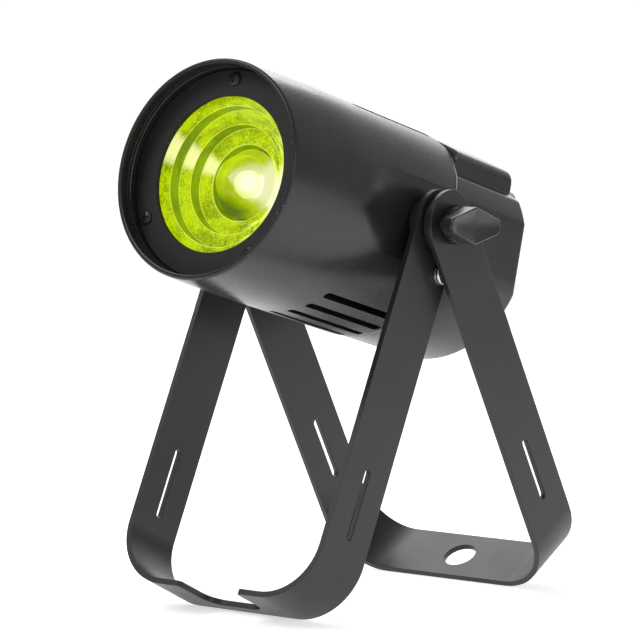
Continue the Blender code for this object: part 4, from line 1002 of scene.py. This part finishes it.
def front_lens():
    """Shallow glass lens with a ground edge."""
    low, high = extent("front_lens")
    opening, rim = LENS_OPENING, high.x
    edge_front = low.z + LENS_EDGE
    sag = high.z - edge_front
    sphere = (opening ** 2 + sag ** 2) / (2 * sag)
    outline = [(0, low.z), (rim - 0.0003, low.z), (rim, low.z + 0.0003), (rim, edge_front - 0.0003),
               (rim - 0.0003, edge_front), (opening, edge_front)]
    for step in range(1, 17):
        reach = opening * 0.985 * (16 - step) / 15 if step < 16 else 0.0
        outline.append((reach, high.z - sphere + sqrt(sphere ** 2 - reach ** 2)))
    return piece("front_lens_glass", spun(outline, 160), "lamp", "lens_glass", "front_lens", matrix=LAMP,
                 smooth=30.0)


# ---------------------------------------------------------------- round and eased pieces
def turned_button(name):
    """Menu button with a domed, softly rimmed cap."""
    low, high = extent(name)
    outside, flange = low.z, extent("rear_panel")[1].z + GAP
    outline = [(0, outside), (0.0012, outside + 0.00005), (0.0018, outside + 0.0002),
               (0.0022, outside + 0.0007), (0.0022, flange), (0.0032, flange),
               (0.0032, flange + 0.001), (0.0012, flange + 0.001), (0.0012, high.z), (0, high.z)]
    return piece(name + "_cap", spun(outline, 40), name, "black_plastic", name,
                 matrix=LAMP @ Matrix.Translation(middle_of(low, high)))


def fuse_cap():
    """Fuse cap with a coin slot and a fine grip."""
    low, high = extent("fuse_cap")
    radius = (high.x - low.x) / 2
    shoulder = extent("fuse_holder")[0].z - GAP
    rings = []
    for reach, along, grip in ((radius - 0.0011, low.z, 0), (radius - 0.0005, low.z + 0.0002, 0.2),
                               (radius - 0.0001, low.z + 0.0008, 1), (radius - 0.0001, shoulder - 0.0004, 1),
                               (radius - 0.0004, shoulder, 0.2), (0.0033, shoulder, 0), (0.0033, high.z, 0)):
        ring = []
        for index in range(144):
            angle = 2 * pi * index / 144
            span = reach - grip * 0.00022 * (0.5 + 0.5 * cos(36 * angle))
            ring.append(Vector((span * cos(angle), span * sin(angle), along)))
        rings.append(ring)
    bm = carved(lofted(rings), [bar(0.0040, 0.0006, low.z - 0.001, low.z + 0.0012)])
    return piece("fuse_cap_grip", bm, "fuse_cap", "black_plastic", "fuse_cap",
                 matrix=LAMP @ Matrix.Translation(middle_of(low, high)))


def build():
    """Make every new piece."""
    front_housing()
    rear_housing()
    bracket("front_bracket", FRONT_REACH, FRONT_LEAN, [(STOP_ALONG, STOP_ACROSS, STOP_BORE)], True)
    rear_middle = strap_lengths(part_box("rear_bracket")[1].x, REAR_REACH)[-1] / 2
    bracket("rear_bracket", REAR_REACH, REAR_LEAN, [(rear_middle, 0.0, CLAMP_HOLE)], False)
    for side, word in ((1, "near"), (-1, "far")):
        matrix = NEAR if side > 0 else FAR
        for kind, slot in (("housing_washer", "rubber"), ("bracket_spacer", "black_plastic")):
            low, high = extent(f"{kind}_{word}", matrix)
            washer(f"{kind}_{word}", slot, matrix, low.z, high.z, high.x)
        knob(side)
    stop_screw()
    face_plate()
    for index in (1, 2, 3):
        cross_head(f"face_screw_{index}")
        cross_head(f"panel_screw_{index}")
    stepped_cup()
    dome()
    front_lens()
    low, high = extent("lens_gasket")
    gasket = softened([(0.0343, low.z), (high.x, low.z), (high.x, high.z), (0.0343, high.z)], 0.0002, 2)
    piece("lens_gasket_ring", spun(gasket, 160, closed=True), "lamp", "rubber", "lens_gasket", matrix=LAMP)
    for index in (1, 2, 3, 4):
        turned_button(f"menu_button_{index}")
    fuse_cap()
    for node, slot, width in (("rear_panel", "panel", 0.00025), ("power_in", "blue_plastic", 0.0004),
                              ("power_out", "grey_plastic", 0.0004), ("dmx_in", "black_plastic", 0.0002),
                              ("dmx_out", "black_plastic", 0.0002), ("display_window", "window", 0.0002)):
        eased(node, "lamp", slot, width)
    eased("dmx_latch", "dmx_latch", "bright_steel", 0.0003)


build()

slots = {row["node"]: row["material_slot"] for row in frame["record"]["subparts"]}
for node, item in frame["nodes"].items():
    item.data.materials.clear()
    item.data.materials.append(finishes[slots[node]].material)
    item.data.shade_smooth()
    item.data.set_sharp_from_angle(angle=radians(32))


# ---------------------------------------------------------------- floor, light and camera
def studio():
    """White floor, white room and soft lights."""
    bm = bmesh.new()
    bmesh.ops.create_grid(bm, x_segments=2, y_segments=2, size=1.4)
    mesh = bpy.data.meshes.new("studio_floor")
    bm.to_mesh(mesh)
    bm.free()
    floor = bpy.data.objects.new("studio_floor", mesh)
    bpy.context.scene.collection.objects.link(floor)
    paint = Finish("pale_floor", Base_Color=(0.9, 0.9, 0.9), Roughness=0.8, Emission_Color=(1, 1, 1),
                   Emission_Strength=0.60)
    mesh.materials.append(paint.material)
    for name, place, aim, size, tall, power in (
            ("key", (-1.1, -1.5, 1.9), (0, 0, 0.12), 1.1, 1.1, 16.0),
            ("fill", (2.2, -0.9, 0.9), (0, 0, 0.12), 1.4, 1.4, 10.0),
            ("card", (-0.49, 0.42, 0.72), (0, 0, 0.17), 0.75, 0.5, 3.8),
            ("backdrop", (-1.35, 1.72, 0.56), (0, 0, 0.56), 5.0, 1.0, 27.0)):
        light = bpy.data.lights.new(name, "AREA")
        light.shape = "RECTANGLE"
        light.size = size
        light.size_y = tall
        light.energy = power
        lamp = bpy.data.objects.new(name, light)
        lamp.location = place
        lamp.rotation_mode = "QUATERNION"
        lamp.rotation_quaternion = (Vector(aim) - Vector(place)).to_track_quat("-Z", "Y")
        bpy.context.scene.collection.objects.link(lamp)
    world = bpy.data.worlds.new("white_room")
    world.use_nodes = True
    tree = world.node_tree
    back = tree.nodes["Background"]
    path = tree.nodes.new("ShaderNodeLightPath")
    mix = tree.nodes.new("ShaderNodeMix")
    mix.data_type = "FLOAT"
    mix.inputs[2].default_value = 0.36    # strength that lights the object
    mix.inputs[3].default_value = 1.05    # strength that the camera sees
    tree.links.new(path.outputs["Is Camera Ray"], mix.inputs[0])
    tree.links.new(mix.outputs[0], back.inputs["Strength"])
    back.inputs["Color"].default_value = (1, 1, 1, 1)
    bpy.context.scene.world = world
    bpy.context.scene.view_settings.view_transform = "Standard"


def camera():
    """Long lens from the front right, a little above the pivot."""
    azimuth, elevation, roll = radians(38.2), radians(4.048), radians(0.956)
    distance, slide, lift = 1.54906, -0.009258, -0.044008
    back = Vector((sin(azimuth) * cos(elevation), -cos(azimuth) * cos(elevation), sin(elevation)))
    right = Vector((cos(azimuth), sin(azimuth), 0))
    up = back.cross(right)
    right, up = right * cos(roll) + up * sin(roll), up * cos(roll) - right * sin(roll)
    data = bpy.data.cameras.new("camera")
    data.sensor_width = 36.0
    data.lens = 199.44658
    data.clip_end = 50.0
    view = bpy.data.objects.new("camera", data)
    view.matrix_world = basis(right, up, back, PIVOT + right * slide + up * lift + back * distance)
    bpy.context.scene.collection.objects.link(view)
    bpy.context.scene.camera = view


studio()
camera()
bpy.context.view_layer.update()
